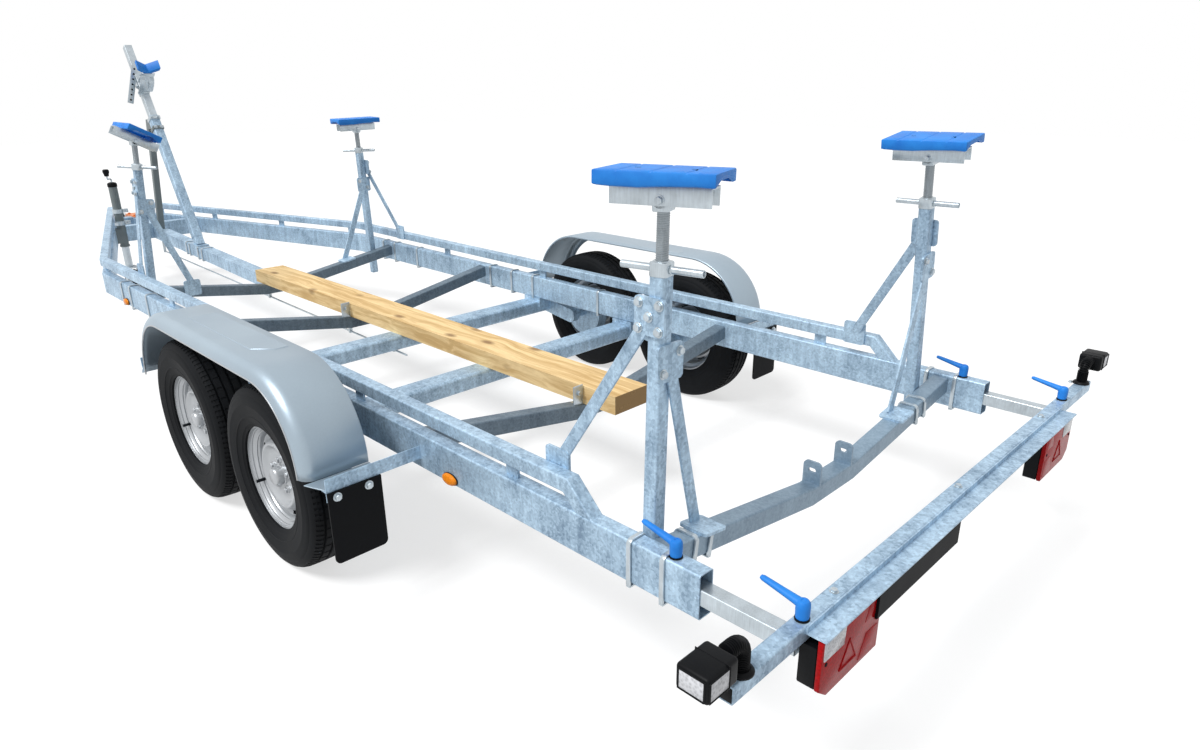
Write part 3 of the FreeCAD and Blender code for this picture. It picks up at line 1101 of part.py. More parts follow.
for side, side_name in ((LEFT, "left"), (RIGHT, "right")):
    outer = size.board_shift + side * size.board_half
    low_y, high_y = sorted((outer, outer - side * size.lamp_long))
    housing = block(f"lamp_housing_{side_name}", Vector(lens_face, low_y, lamp_low),
                    Vector(lens_face + size.lamp_deep, high_y, light_low - size.seat_gap))
    lens = block(f"lamp_lens_{side_name}", Vector(lens_face, low_y, lamp_low),
                 Vector(lens_face + size.lens_deep, high_y, flange_low))
    lamps.append(fuse(f"tail_lamp_{side_name}", [housing, lens]))
    foot = Vector(size.light_place, side * (size.light_half - size.marker_inset), light_top)
    elbow = foot + Z_AXIS * size.marker_rise
    tip = elbow + Y_AXIS * side * size.marker_reach
    bend = doc.addObject("Part::Sphere", f"marker_elbow_{side_name}")
    bind(bend, Radius="sizes.marker_radius")
    bend.Placement = FreeCAD.Placement(elbow, FreeCAD.Rotation())
    stalk = rod(f"marker_stalk_{side_name}", foot, elbow, "sizes.marker_radius")
    arm = rod(f"marker_arm_{side_name}", elbow, tip - Y_AXIS * side * size.marker_long / 2, "sizes.marker_radius")
    low_y, high_y = sorted((tip.y, tip.y - side * size.marker_long))
    half_wide, half_high = size.marker_wide / 2, size.marker_high / 2
    head = block(f"marker_head_{side_name}", Vector(tip.x - half_wide, low_y, tip.z - half_high),
                 Vector(tip.x + half_wide, high_y, tip.z + half_high))
    lamps.append(fuse(f"marker_lamp_{side_name}", [stalk, bend, arm, head]))
keep("rear_lamps", group("rear_lamps", lamps))
plate_left = size.board_shift + size.board_half - size.lamp_long + size.plate_over
keep("plate_holder", block("plate_holder", Vector(board_back, plate_left - size.plate_long, flange_low - size.plate_high),
                           Vector(board_back + size.plate_thick, plate_left, flange_low)))


def clamp_lever(name, x, y, foot):
    """A hub on its screw with a slanted arm."""
    hub = rod(f"{name}_hub", Vector(x, y, foot), Vector(x, y, foot + size.knob_high), "sizes.knob_radius")
    start = Vector(x, y, foot + size.knob_high - size.knob_radius / 2)
    end = start + Vector(size.knob_reach, 0, size.knob_rise)
    arm = rod(f"{name}_arm", start, end, "sizes.knob_radius / 2")
    return fuse(name, [hub, arm])


rail_levers = [clamp_lever(f"rail_lever_{k}", size.rail_rear + size.gusset_side, side * rail_line, size.rail_top)
               for k, side in (("left", LEFT), ("right", RIGHT))]
keep("rail_levers", group("rail_levers", rail_levers))
bar_levers = [clamp_lever(f"bar_lever_{k}", size.light_place, side * rail_line, light_top)
              for k, side in (("left", LEFT), ("right", RIGHT))]
keep("bar_levers", group("bar_levers", bar_levers))

# Side markers, U-bolts over the rails and the brake rod

markers = []
for side, side_name in ((LEFT, "left"), (RIGHT, "right")):
    for place, x in (("rear", size.side_lamp_rear), ("front", size.side_lamp_front)):
        half_long, half_high = size.side_lamp_long / 2, size.side_lamp_high / 2
        profile = outline(f"side_lamp_{place}_{side_name}_outline", [
            (-half_long, -half_high, half_high * 0.95), (half_long, -half_high, half_high * 0.95),
            (half_long, half_high, half_high * 0.95), (-half_long, half_high, half_high * 0.95)])
        markers.append(extrude(f"side_lamp_{place}_{side_name}", profile, "sizes.side_lamp_thick", FreeCAD.Placement(
            Vector(x, side * rail_outer, rail_low + size.side_lamp_high / 2), FreeCAD.Rotation(X_AXIS, -90 * side))))
keep("side_markers", group("side_markers", markers))

rod_rear = Vector(size.rod_rear_place, size.rod_rear_out, size.rod_lift)
rod_front = Vector(size.rod_front_place, size.rod_front_out, size.rod_lift)
axle_low = size.cross_mid_top - size.axle_high
cross_low = size.cross_mid_top - size.cross_side
rod_pieces = [rod("brake_rod_bar", rod_rear, rod_front, "sizes.rod_radius")]
for k, (x, top) in enumerate(((front_axle + size.axle_ahead, axle_low), (size.cross_middle_place, cross_low),
                              (size.cross_front_place, cross_low), (size.rod_front_place, rail_low))):
    share = (x - rod_rear.x) / (rod_front.x - rod_rear.x)
    centre = rod_rear + (rod_front - rod_rear) * share
    half = size.hanger_wide / 2
    rod_pieces.append(block(f"rod_hanger_{k}", Vector(x - half, centre.y - half, size.rod_lift - half),
                            Vector(x + half, centre.y + half, top)))
keep("brake_rod", cut("brake_rod", fuse("brake_rod_whole", rod_pieces), spine_beam))

doc.recompute()

# The origin lies under the middle of the trailer's length

whole = FreeCAD.BoundBox()
for item in nodes:
    whole.add(item.Shape.BoundBox)
middle = (whole.XMin + whole.XMax) / 2
print(f"moved along X by {-middle:.3f}")

bad = [item.Name for item in doc.Objects if "Invalid" in item.State or "Error" in item.State]
if bad:
    raise RuntimeError(f"objects that failed: {bad}")
os.makedirs("parts", exist_ok=True)
if [item.Name for item in nodes if item.Label != item.Label.rstrip("0123456789")]:
    raise RuntimeError("two objects share a label")
for item in nodes:
    shape = item.Shape.copy()
    if shape.isNull() or not shape.isValid():
        raise RuntimeError(f"{item.Label} has no valid shape")
    shape.translate(Vector(-middle, 0, 0))
    shape.exportStep(f"parts/{item.Label}.step")
print(f"{len(nodes)} sub-parts")
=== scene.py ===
"""Looks of a boat trailer with two axles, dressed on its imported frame.

Sizes are in metres, and places are in millimetres, as at() takes them.
"""

import json
import math

import bmesh
import bpy
from bpy.props import FloatProperty, FloatVectorProperty, IntProperty, PointerProperty
from mathutils import Matrix, Vector
from mathutils.bvhtree import BVHTree


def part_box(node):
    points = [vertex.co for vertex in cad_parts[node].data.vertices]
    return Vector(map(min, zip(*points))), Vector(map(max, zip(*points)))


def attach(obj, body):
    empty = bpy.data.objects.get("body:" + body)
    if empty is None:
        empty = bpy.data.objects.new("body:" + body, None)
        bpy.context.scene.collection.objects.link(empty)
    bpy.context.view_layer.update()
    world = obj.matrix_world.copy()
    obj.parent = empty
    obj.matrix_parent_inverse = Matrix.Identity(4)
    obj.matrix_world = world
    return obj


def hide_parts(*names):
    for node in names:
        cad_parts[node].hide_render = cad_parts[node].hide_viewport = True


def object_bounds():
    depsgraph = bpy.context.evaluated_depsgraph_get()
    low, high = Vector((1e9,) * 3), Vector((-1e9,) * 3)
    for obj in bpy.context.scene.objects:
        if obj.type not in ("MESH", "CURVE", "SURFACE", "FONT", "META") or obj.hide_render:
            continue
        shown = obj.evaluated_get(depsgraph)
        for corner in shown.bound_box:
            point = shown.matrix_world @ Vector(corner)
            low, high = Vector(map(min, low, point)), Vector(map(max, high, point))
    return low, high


bl_info = {
    "name": "Boat trailer",
    "version": (1, 0, 0),
    "blender": (4, 5, 0),
    "location": "3D View > Sidebar > Trailer",
    "description": "Dresses the frame of a boat trailer with fittings and finishes",
    "category": "Object",
}

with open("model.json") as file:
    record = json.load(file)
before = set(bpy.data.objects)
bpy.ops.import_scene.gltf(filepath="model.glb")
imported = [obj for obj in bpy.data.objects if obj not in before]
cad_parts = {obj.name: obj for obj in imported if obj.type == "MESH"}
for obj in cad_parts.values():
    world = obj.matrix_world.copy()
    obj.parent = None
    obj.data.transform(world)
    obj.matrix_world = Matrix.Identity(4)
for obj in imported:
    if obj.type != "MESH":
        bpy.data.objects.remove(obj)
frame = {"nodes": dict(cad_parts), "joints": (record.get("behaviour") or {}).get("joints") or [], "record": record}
CAD_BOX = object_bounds()

MM = 0.001
X_AXIS = Vector((1, 0, 0))
Y_AXIS = Vector((0, 1, 0))
Z_AXIS = Vector((0, 0, 1))
SIDES = {"left": 1, "right": -1}
CORNERS = ("front_left", "front_right", "rear_left", "rear_right")
JOINTS = {joint["name"]: joint for joint in frame["joints"]}
WHEEL_CENTRES = {corner: Vector(JOINTS[f"wheel_{corner}_roll"]["pos_m"]) for corner in CORNERS}
MIDDLE = sum(centre.x for centre in WHEEL_CENTRES.values()) / len(WHEEL_CENTRES)


def at(x, y, z):
    """A point in millimetres: forward of the middle between the axles, left, and up from the ground."""
    return Vector((MIDDLE + x * MM, y * MM, z * MM))


# Sizes and colours


class TrailerColours(bpy.types.PropertyGroup):
    """Base colours of the trailer's finishes."""

    steel: FloatVectorProperty(
        name="Galvanised steel", description="Mean colour of the hot dip galvanised steel",
        subtype="COLOR", default=(0.39, 0.53, 0.67))
    zinc: FloatVectorProperty(
        name="Zinc plate", description="Colour of the plated rods, plates and bolts",
        subtype="COLOR", default=(0.52, 0.58, 0.62))
    fender: FloatVectorProperty(
        name="Fender sheet", description="Colour of the galvanised sheet of the fenders",
        subtype="COLOR", default=(0.38, 0.46, 0.52))
    blue: FloatVectorProperty(
        name="Blue plastic", description="Colour of the hull pads and clamp levers",
        subtype="COLOR", default=(0.014, 0.215, 0.74))
    pine: FloatVectorProperty(
        name="Pine", description="Colour of the keel plank between its growth rings",
        subtype="COLOR", default=(0.88, 0.66, 0.35))
    silver: FloatVectorProperty(
        name="Wheel silver", description="Colour of the painted wheel rims",
        subtype="COLOR", default=(0.46, 0.48, 0.50))
    tyre: FloatVectorProperty(
        name="Tyre rubber", description="Colour of the tyres",
        subtype="COLOR", default=(0.006, 0.0068, 0.008))
    black: FloatVectorProperty(
        name="Black plastic", description="Colour of lamp housings, flaps and caps",
        subtype="COLOR", default=(0.0035, 0.004, 0.005))
    amber: FloatVectorProperty(
        name="Amber lens", description="Colour of the side marker lenses",
        subtype="COLOR", default=(0.86, 0.23, 0.015))
    red: FloatVectorProperty(
        name="Red lens", description="Colour of the rear lamp lenses",
        subtype="COLOR", default=(0.36, 0.002, 0.004))
    orange: FloatVectorProperty(
        name="Overrun orange", description="Colour of the paint on the overrun housing",
        subtype="COLOR", default=(0.72, 0.20, 0.04))


class WheelSizes(bpy.types.PropertyGroup):
    """Detail of the tyres and rims."""

    tread_pitches: IntProperty(
        name="Tread pitches", description="Shoulder grooves around one tyre", default=100, min=24, max=120)
    groove_depth: FloatProperty(
        name="Groove depth", description="Depth of the tread grooves", default=0.0022, unit="LENGTH")
    rim_slots: IntProperty(
        name="Rim slots", description="Slots around the disc of a rim", default=8, min=4, max=12)
    bolt_circle: FloatProperty(
        name="Bolt circle", description="Radius of the circle of wheel bolts", default=0.056, unit="LENGTH")


class FittingSizes(bpy.types.PropertyGroup):
    """Detail of the frame's fittings."""

    strap: FloatProperty(
        name="Strap width", description="Width of the flat straps around the rails",
        default=0.014, unit="LENGTH")
    bolt: FloatProperty(
        name="Bolt radius", description="Half width over the corners of a post bolt's head",
        default=0.0095, unit="LENGTH")
    thread_pitch: FloatProperty(
        name="Thread pitch", description="Rise of a spindle's thread in one turn",
        default=0.005, unit="LENGTH")
    pad_groove: FloatProperty(
        name="Pad groove", description="Width of the grooves across a pad", default=0.004, unit="LENGTH")


class CameraSizes(bpy.types.PropertyGroup):
    """Where the camera stands and how it looks."""

    place: FloatVectorProperty(
        name="Place", description="Where the camera stands", subtype="TRANSLATION", unit="LENGTH",
        default=(-4.3115, 2.100, 1.581))
    heading: FloatProperty(
        name="Heading", description="Direction of view, turned left from straight ahead",
        subtype="ANGLE", default=math.radians(-45.19))
    dip: FloatProperty(
        name="Dip", description="How far the camera looks down", subtype="ANGLE", default=math.radians(20.28))
    roll: FloatProperty(
        name="Roll", description="How far the camera is rolled", subtype="ANGLE", default=math.radians(-0.51))
    lens: FloatProperty(
        name="Lens", description="Focal length in millimetres on a sensor 36 mm wide", default=24.22)


def colours():
    return bpy.context.scene.trailer_colours


# Shapes


def moved_verts(grown):
    return [item for item in grown["geom"] if isinstance(item, bmesh.types.BMVert)]


def round_edges(shape, edges, width, segments=2):
    bmesh.ops.bevel(shape, geom=edges, offset=width, segments=segments, profile=0.5,
                    affect="EDGES", material=-1, clamp_overlap=True)


def box(size, bevel=0.0, segments=2):
    """A box around the origin."""
    shape = bmesh.new()
    bmesh.ops.create_cube(shape, size=1.0, matrix=Matrix.Diagonal((*size, 1.0)))
    if bevel:
        round_edges(shape, shape.edges[:], bevel, segments)
    return shape


def rod(radius, length, segments=24, bevel=0.0):
    """A round bar from the origin up along Z."""
    shape = bmesh.new()
    bmesh.ops.create_cone(shape, cap_ends=True, segments=segments, radius1=radius, radius2=radius,
                          depth=length, matrix=Matrix.Translation((0, 0, length / 2)))
    if bevel:
        rims = [edge for edge in shape.edges if abs(edge.verts[0].co.z - edge.verts[1].co.z) < bevel / 10]
        round_edges(shape, rims, bevel)
    return shape


def turned(profile, segments=48, closed=False):
    """A profile of (radius, height) points spun around Z."""
    shape = bmesh.new()
    verts = [shape.verts.new((radius, 0, height)) for radius, height in profile]
    pairs = list(zip(verts, verts[1:])) + ([(verts[-1], verts[0])] if closed else [])
    edges = [shape.edges.new(pair) for pair in pairs]
    bmesh.ops.spin(shape, geom=verts + edges, cent=(0, 0, 0), axis=(0, 0, 1), dvec=(0, 0, 0),
                   angle=math.tau, steps=segments, use_merge=True)
    bmesh.ops.remove_doubles(shape, verts=shape.verts, dist=MM / 100)
    bmesh.ops.recalc_face_normals(shape, faces=shape.faces)
    return shape


def prism(outline, depth, bevel=0.0, segments=2):
    """An outline of (x, y) points pushed up along Z."""
    shape = bmesh.new()
    face = shape.faces.new([shape.verts.new((x, y, 0)) for x, y in outline])
    grown = bmesh.ops.extrude_face_region(shape, geom=[face])
    bmesh.ops.translate(shape, verts=moved_verts(grown), vec=(0, 0, depth))
    bmesh.ops.recalc_face_normals(shape, faces=shape.faces)
    if bevel:
        round_edges(shape, shape.edges[:], bevel, segments)
    return shape


def swept(section, stations, closed=True):
    """A section of (x, y) points carried through a row of matrices."""
    shape = bmesh.new()
    verts = [shape.verts.new(stations[0] @ Vector((x, y, 0))) for x, y in section]
    pairs = list(zip(verts, verts[1:])) + ([(verts[-1], verts[0])] if closed else [])
    edges = [shape.edges.new(pair) for pair in pairs]
    if closed:
        shape.faces.new(verts)
    for before, after in zip(stations, stations[1:]):
        grown = bmesh.ops.extrude_edge_only(shape, edges=edges)
        fresh = set(moved_verts(grown))
        edges = [item for item in grown["geom"] if isinstance(item, bmesh.types.BMEdge)
                 and item.verts[0] in fresh and item.verts[1] in fresh]
        bmesh.ops.transform(shape, matrix=after @ before.inverted(), verts=list(fresh))
    if closed:
        bmesh.ops.contextual_create(shape, geom=edges)
    bmesh.ops.recalc_face_normals(shape, faces=shape.faces)
    return shape


def circle(radius, segments):
    return [(radius * math.cos(math.tau * step / segments), radius * math.sin(math.tau * step / segments))
            for step in range(segments)]


def path_stations(points, scales=None):
    """Matrices along a row of points, turned with the path and never twisted."""
    points = [Vector(point) for point in points]
    runs = [(b - a).normalized() for a, b in zip(points, points[1:])]
    ways = [runs[0]] + [(a + b).normalized() for a, b in zip(runs, runs[1:])] + [runs[-1]]
    turn = Z_AXIS.rotation_difference(ways[0])
    stations = []
    before = ways[0]
    for index, (point, way) in enumerate(zip(points, ways)):
        turn = before.rotation_difference(way) @ turn
        before = way
        scale = scales[index] if scales else 1.0
        stations.append(Matrix.Translation(point) @ turn.to_matrix().to_4x4() @ Matrix.Scale(scale, 4))
    return stations


def tube(points, radius, segments=10, scales=None):
    return swept(circle(radius, segments), path_stations(points, scales))


def arc(centre, radius, start, end, steps, first, second):
    """Points of an arc in the plane of two directions, with its angles in degrees."""
    angles = [math.radians(start + (end - start) * step / steps) for step in range(steps + 1)]
    return [centre + first * (radius * math.cos(angle)) + second * (radius * math.sin(angle))
            for angle in angles]


def axes(origin, x, y, z):
    """A matrix that puts a shape's own axes along these directions."""
    turn = Matrix((x, y, z)).transposed().to_4x4()
    return Matrix.Translation(origin) @ turn


def facing(origin, way):
    """A matrix with Z along a direction, and Y upwards or, on a level face, forwards."""
    z = Vector(way).normalized()
    guide = Z_AXIS if abs(z.z) < 0.9 else X_AXIS
    x = guide.cross(z).normalized()
    return axes(origin, x, z.cross(x), z)


def shifted(place, x=0.0, y=0.0, z=0.0):
    """A matrix moved along its own axes."""
    return place @ Matrix.Translation((x, y, z))


class Piece:
    """One piece of the trailer, gathered from shapes of several finishes."""

    def __init__(self, name, *finishes):
        self.name = name
        self.finishes = finishes
        self.mesh = bmesh.new()

    def add(self, shape, place=None, finish=0, smooth=True):
        if place is not None:
            bmesh.ops.transform(shape, matrix=place, verts=shape.verts)
            if place.determinant() < 0:
                bmesh.ops.recalc_face_normals(shape, faces=shape.faces)
        for face in shape.faces:
            face.smooth = smooth
            if finish is not None:
                face.material_index = finish
        holder = bpy.data.meshes.new("holder")
        shape.to_mesh(holder)
        shape.free()
        self.mesh.from_mesh(holder)
        bpy.data.meshes.remove(holder)
        return self

    def done(self, body, slot, *replaced, sharp=35.0, wall=0.0):
        data = bpy.data.meshes.new(self.name)
        self.mesh.to_mesh(data)
        self.mesh.free()
        data.set_sharp_from_angle(angle=math.radians(sharp))
        item = bpy.data.objects.new(self.name, data)
        bpy.context.scene.collection.objects.link(item)
        for finish in self.finishes:
            data.materials.append(material(finish))
        if wall:
            layer = item.modifiers.new("sheet", "SOLIDIFY")
            layer.thickness = wall
            layer.offset = -1.0
        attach(item, body)
        if replaced:
            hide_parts(*replaced)
        return item


# Materials


class Value:
    """A socket of a material's nodes, with the sums that shader maths needs."""

    def __init__(self, nodes, socket):
        self.nodes = nodes
        self.socket = socket

    def sum(self, operation, first, second):
        return self.nodes.add("ShaderNodeMath", {"operation": operation}, {0: first, 1: second})

    def __add__(self, other):
        return self.sum("ADD", self, other)

    def __radd__(self, other):
        return self.sum("ADD", other, self)

    def __sub__(self, other):
        return self.sum("SUBTRACT", self, other)

    def __rsub__(self, other):
        return self.sum("SUBTRACT", other, self)

    def __mul__(self, other):
        return self.sum("MULTIPLY", self, other)

    def __rmul__(self, other):
        return self.sum("MULTIPLY", other, self)

    def over(self, low, high):
        """How far this value has come from low to high, held between 0 and 1."""
        return self.nodes.add("ShaderNodeMapRange", {"clamp": True},
                              {"Value": self, "From Min": low, "From Max": high})


class Nodes:
    """The nodes of one material."""

    def __init__(self, name):
        self.material = bpy.data.materials.new(name)
        self.material.use_nodes = True
        self.tree = self.material.node_tree
        self.tree.nodes.clear()
        self.place = self.add("ShaderNodeTexCoord", output="Object")

    def add(self, kind, settings=None, inputs=None, output=0):
        node = self.tree.nodes.new(kind)
        for name, value in (settings or {}).items():
            if name == "stops":
                self.set_stops(node.color_ramp, value)
            else:
                setattr(node, name, value)
        for name, value in (inputs or {}).items():
            if isinstance(value, Value):
                self.tree.links.new(value.socket, node.inputs[name])
            else:
                node.inputs[name].default_value = value
        return Value(self, node.outputs[output]) if node.outputs else None

    def set_stops(self, ramp, stops):
        while len(ramp.elements) < len(stops):
            ramp.elements.new(1.0)
        for element, (position, colour) in zip(ramp.elements, stops):
            element.position = position
            element.color = (*colour, 1.0)

    def stretched(self, scale):
        return self.add("ShaderNodeMapping", None, {"Vector": self.place, "Scale": scale})

    def noise(self, scale, detail=3.0, roughness=0.5, vector=None, distortion=0.0):
        return self.add("ShaderNodeTexNoise", None,
                        {"Vector": vector or self.place, "Scale": scale, "Detail": detail,
                         "Roughness": roughness, "Distortion": distortion})

    def cells(self, scale, vector=None, output="Distance"):
        return self.add("ShaderNodeTexVoronoi", None,
                        {"Vector": vector or self.place, "Scale": scale}, output)

    def mix(self, factor, first, second):
        colours_in = {}
        for socket, value in ((6, first), (7, second)):
            colours_in[socket] = value if isinstance(value, Value) else (*value, 1.0)
        return self.add("ShaderNodeMix", {"data_type": "RGBA"}, {0: factor, **colours_in}, 2)

    def normal_part(self, axis):
        """How far a face points along one axis, from 0 to 1."""
        normal = self.add("ShaderNodeNewGeometry", output="True Normal")
        parts = self.add("ShaderNodeSeparateXYZ", None, {0: normal}, axis)
        return self.add("ShaderNodeMath", {"operation": "ABSOLUTE"}, {0: parts})

    def bump(self, height, distance, strength):
        return self.add("ShaderNodeBump", None,
                        {"Height": height, "Distance": distance, "Strength": strength})

    def surface(self, **inputs):
        named = {name.replace("_", " "): value for name, value in inputs.items()}
        shader = self.add("ShaderNodeBsdfPrincipled", None, named)
        self.add("ShaderNodeOutputMaterial", None, {"Surface": shader})
        return self.material


def shade(colour, amount):
    return tuple(min(1.0, part * amount) for part in colour)


def hue_shift(colour, red, green, blue):
    return (colour[0] * red, colour[1] * green, colour[2] * blue)


def galvanised(name, colour, metallic=0.42, rough=0.36, contrast=1.0, streaks=1.0):
    """Hot dip zinc: crystals of differing grey, soft clouds and run marks down the sides."""
    nodes = Nodes(name)
    crystals = nodes.cells(140.0, output="Color")
    grey = nodes.add("ShaderNodeSeparateColor", None, {0: crystals}, 0)
    clouds = nodes.noise(5.5, 4.0, 0.6)
    runs = nodes.noise(1.0, 4.0, 0.65, nodes.stretched((38, 38, 7)))
    fine = nodes.noise(230.0, 3.0, 0.6)
    level = ((grey - 0.5) * (0.36 * contrast) + (clouds - 0.5) * (1.1 * contrast)
             + (runs - 0.5) * (1.2 * streaks))
    level = (level + (fine - 0.5) * (0.35 * contrast) + 0.5).over(0.0, 1.0)
    dark = hue_shift(shade(colour, 0.52), 0.86, 0.96, 1.06)
    pale = hue_shift(shade(colour, 1.45), 1.04, 1.02, 0.98)
    base = nodes.mix(level, dark, pale)
    height = grey * 0.3 + fine * 0.7
    return nodes.surface(Base_Color=base, Metallic=metallic, Roughness=rough + 0.18 * (1.0 - level),
                         Normal=nodes.bump(height, 0.0012, 0.35))


def plated(name, colour, metallic=0.8, rough=0.26):
    """Bright zinc plate with a faint milky cloud and fine drawing lines."""
    nodes = Nodes(name)
    clouds = nodes.noise(22.0, 4.0, 0.6)
    lines = nodes.noise(1.0, 2.0, 0.5, nodes.stretched((260, 260, 22)))
    level = ((clouds - 0.5) * 1.2 + (lines - 0.5) * 0.8 + 0.5).over(0.0, 1.0)
    base = nodes.mix(level, shade(colour, 0.72), shade(colour, 1.22))
    return nodes.surface(Base_Color=base, Metallic=metallic, Roughness=rough + 0.15 * clouds,
                         Normal=nodes.bump(lines, 0.0005, 0.3))


def painted(name, colour, metallic=0.0, rough=0.4, grain=220.0, depth=0.0004, spread=0.25, gloss=0.5):
    """Paint or moulded plastic with a fine grain and slight colour change."""
    nodes = Nodes(name)
    clouds = nodes.noise(9.0, 4.0, 0.6)
    fine = nodes.noise(grain, 3.0, 0.6)
    level = ((clouds - 0.5) * 1.4 + (fine - 0.5) * 0.5 + 0.5).over(0.0, 1.0)
    base = nodes.mix(level, shade(colour, 1.0 - spread), shade(colour, 1.0 + spread))
    return nodes.surface(Base_Color=base, Metallic=metallic, Roughness=rough + 0.14 * (clouds - 0.5),
                         Specular_IOR_Level=gloss, Normal=nodes.bump(fine, depth, 0.4))


def fender_sheet():
    """Smooth galvanised sheet, satin, with broad soft clouds; its back faces, under the fender, are painted at
    half brightness as shade.
    """
    nodes = Nodes("fender sheet")
    broad = nodes.noise(3.0, 3.0, 0.5)
    fine = nodes.noise(150.0, 4.0, 0.65)
    level = ((broad - 0.5) * 1.1 + (fine - 0.5) * 0.5 + 0.5).over(0.0, 1.0)
    colour = tuple(colours().fender)
    base = nodes.mix(level, hue_shift(shade(colour, 0.88), 0.97, 0.99, 1.03), shade(colour, 1.12))
    # Back faces, on the fender's underside, are painted at half brightness as shade
    outside = nodes.add("ShaderNodeNewGeometry", output="Backfacing")
    return nodes.surface(Base_Color=nodes.mix(outside, base, shade(colour, 0.5)), Metallic=0.55,
                         Roughness=0.33 + 0.14 * fine, Normal=nodes.bump(fine, 0.0004, 0.25))


def pine_wood():
    """Sawn pine: long grain, a few knots, and end grain on the ends."""
    nodes = Nodes("pine")
    colour = tuple(colours().pine)
    warp = nodes.noise(2.2, 2.0, 0.5, nodes.stretched((0.8, 1.0, 1.0)))
    drawn = nodes.add("ShaderNodeVectorMath", {"operation": "MULTIPLY_ADD"},
                      {0: warp, 1: (0.0, 0.16, 0.10), 2: nodes.place})
    long_grain = nodes.add("ShaderNodeMapping", None, {"Vector": drawn, "Scale": (1.3, 34.0, 26.0)})
    rings = nodes.noise(1.0, 4.0, 0.6, long_grain, 0.4)
    pores = nodes.noise(1.0, 3.0, 0.6, nodes.stretched((16, 420, 420)))
    knots = nodes.cells(1.0, nodes.stretched((4.2, 9.0, 9.0)))
    knot = 1.0 - knots.over(0.08, 0.22)
    stain = nodes.noise(1.0, 4.0, 0.7, nodes.stretched((3.0, 11.0, 11.0))).over(0.50, 0.68)
    level = rings.over(0.40, 0.60) * 0.75 + pores.over(0.3, 0.7) * 0.25
    base = nodes.mix(level, hue_shift(shade(colour, 0.66), 1.0, 0.84, 0.60), shade(colour, 1.08))
    base = nodes.mix(stain * 0.34, base, hue_shift(shade(colour, 0.52), 1.0, 0.80, 0.55))
    base = nodes.mix(knot * 0.85, base, hue_shift(shade(colour, 0.26), 1.0, 0.70, 0.50))
    end_rings = nodes.cells(14.0, nodes.stretched((0.1, 1.0, 1.6)))
    wave = nodes.add("ShaderNodeMath", {"operation": "SINE"}, {0: end_rings * 95.0})
    end_wood = nodes.mix((wave * 0.5 + 0.5) * 0.6, hue_shift(shade(colour, 0.46), 1.0, 0.82, 0.62),
                         hue_shift(shade(colour, 0.26), 1.0, 0.76, 0.55))
    end = nodes.normal_part("X").over(0.8, 0.95)
    return nodes.surface(Base_Color=nodes.mix(end, base, end_wood), Roughness=0.62 + 0.2 * pores,
                         Normal=nodes.bump(rings * 0.5 + pores * 0.5, 0.0010, 0.4))


def tyre_rubber():
    """Black rubber, greyer where dust lies in the sidewall."""
    nodes = Nodes("tyre rubber")
    colour = tuple(colours().tyre)
    dust = nodes.noise(14.0, 4.0, 0.6)
    fine = nodes.noise(260.0, 3.0, 0.6)
    base = nodes.mix(dust.over(0.35, 0.8), colour, hue_shift(shade(colour, 1.9), 1.02, 1.0, 0.98))
    return nodes.surface(Base_Color=base, Roughness=0.55 + 0.22 * dust, Specular_IOR_Level=0.10,
                         Normal=nodes.bump(fine, 0.0006, 0.5))


def blue_plastic():
    """Moulded blue plastic with a fine spark grain and scuffs."""
    nodes = Nodes("blue plastic")
    colour = tuple(colours().blue)
    clouds = nodes.noise(16.0, 4.0, 0.6)
    fine = nodes.noise(300.0, 2.0, 0.6)
    scuff = nodes.noise(1.0, 3.0, 0.7, nodes.stretched((60, 240, 60))).over(0.62, 0.8)
    base = nodes.mix(clouds.over(0.3, 0.7), hue_shift(shade(colour, 0.86), 0.8, 0.95, 1.0),
                     hue_shift(shade(colour, 1.08), 1.4, 1.15, 1.0))
    base = nodes.mix(scuff * 0.18, base, (0.10, 0.34, 0.78))
    return nodes.surface(Base_Color=base, Roughness=0.42 + 0.2 * clouds, Specular_IOR_Level=0.35,
                         Normal=nodes.bump(fine, 0.0004, 0.4))


def lens(name, colour, ribs, rough=0.12):
    """Coloured lens with moulded optics behind a clear face."""
    nodes = Nodes(name)
    optics = nodes.cells(ribs)
    clouds = nodes.noise(18.0, 2.0, 0.5)
    level = optics.over(0.0, 0.7) * 0.6 + clouds * 0.4
    base = nodes.mix(level, shade(colour, 0.55), shade(colour, 1.35))
    return nodes.surface(Base_Color=base, Roughness=rough + 0.05 * clouds, Specular_IOR_Level=0.12,
                         Normal=nodes.bump(optics, 0.0008, 0.3))


MATERIALS = {}
DARK_PAINT = (0.185, 0.215, 0.220)
# Near-black painted shade for the insides of slots, holes, dimples and hollow handle ends; the valve wears it as
# its own dark rubber, and the lamp screws take it too
HOLLOW_SHADE_AND_RUBBER = (0.008, 0.010, 0.013)
CLEAR_LENS = (0.62, 0.63, 0.66)


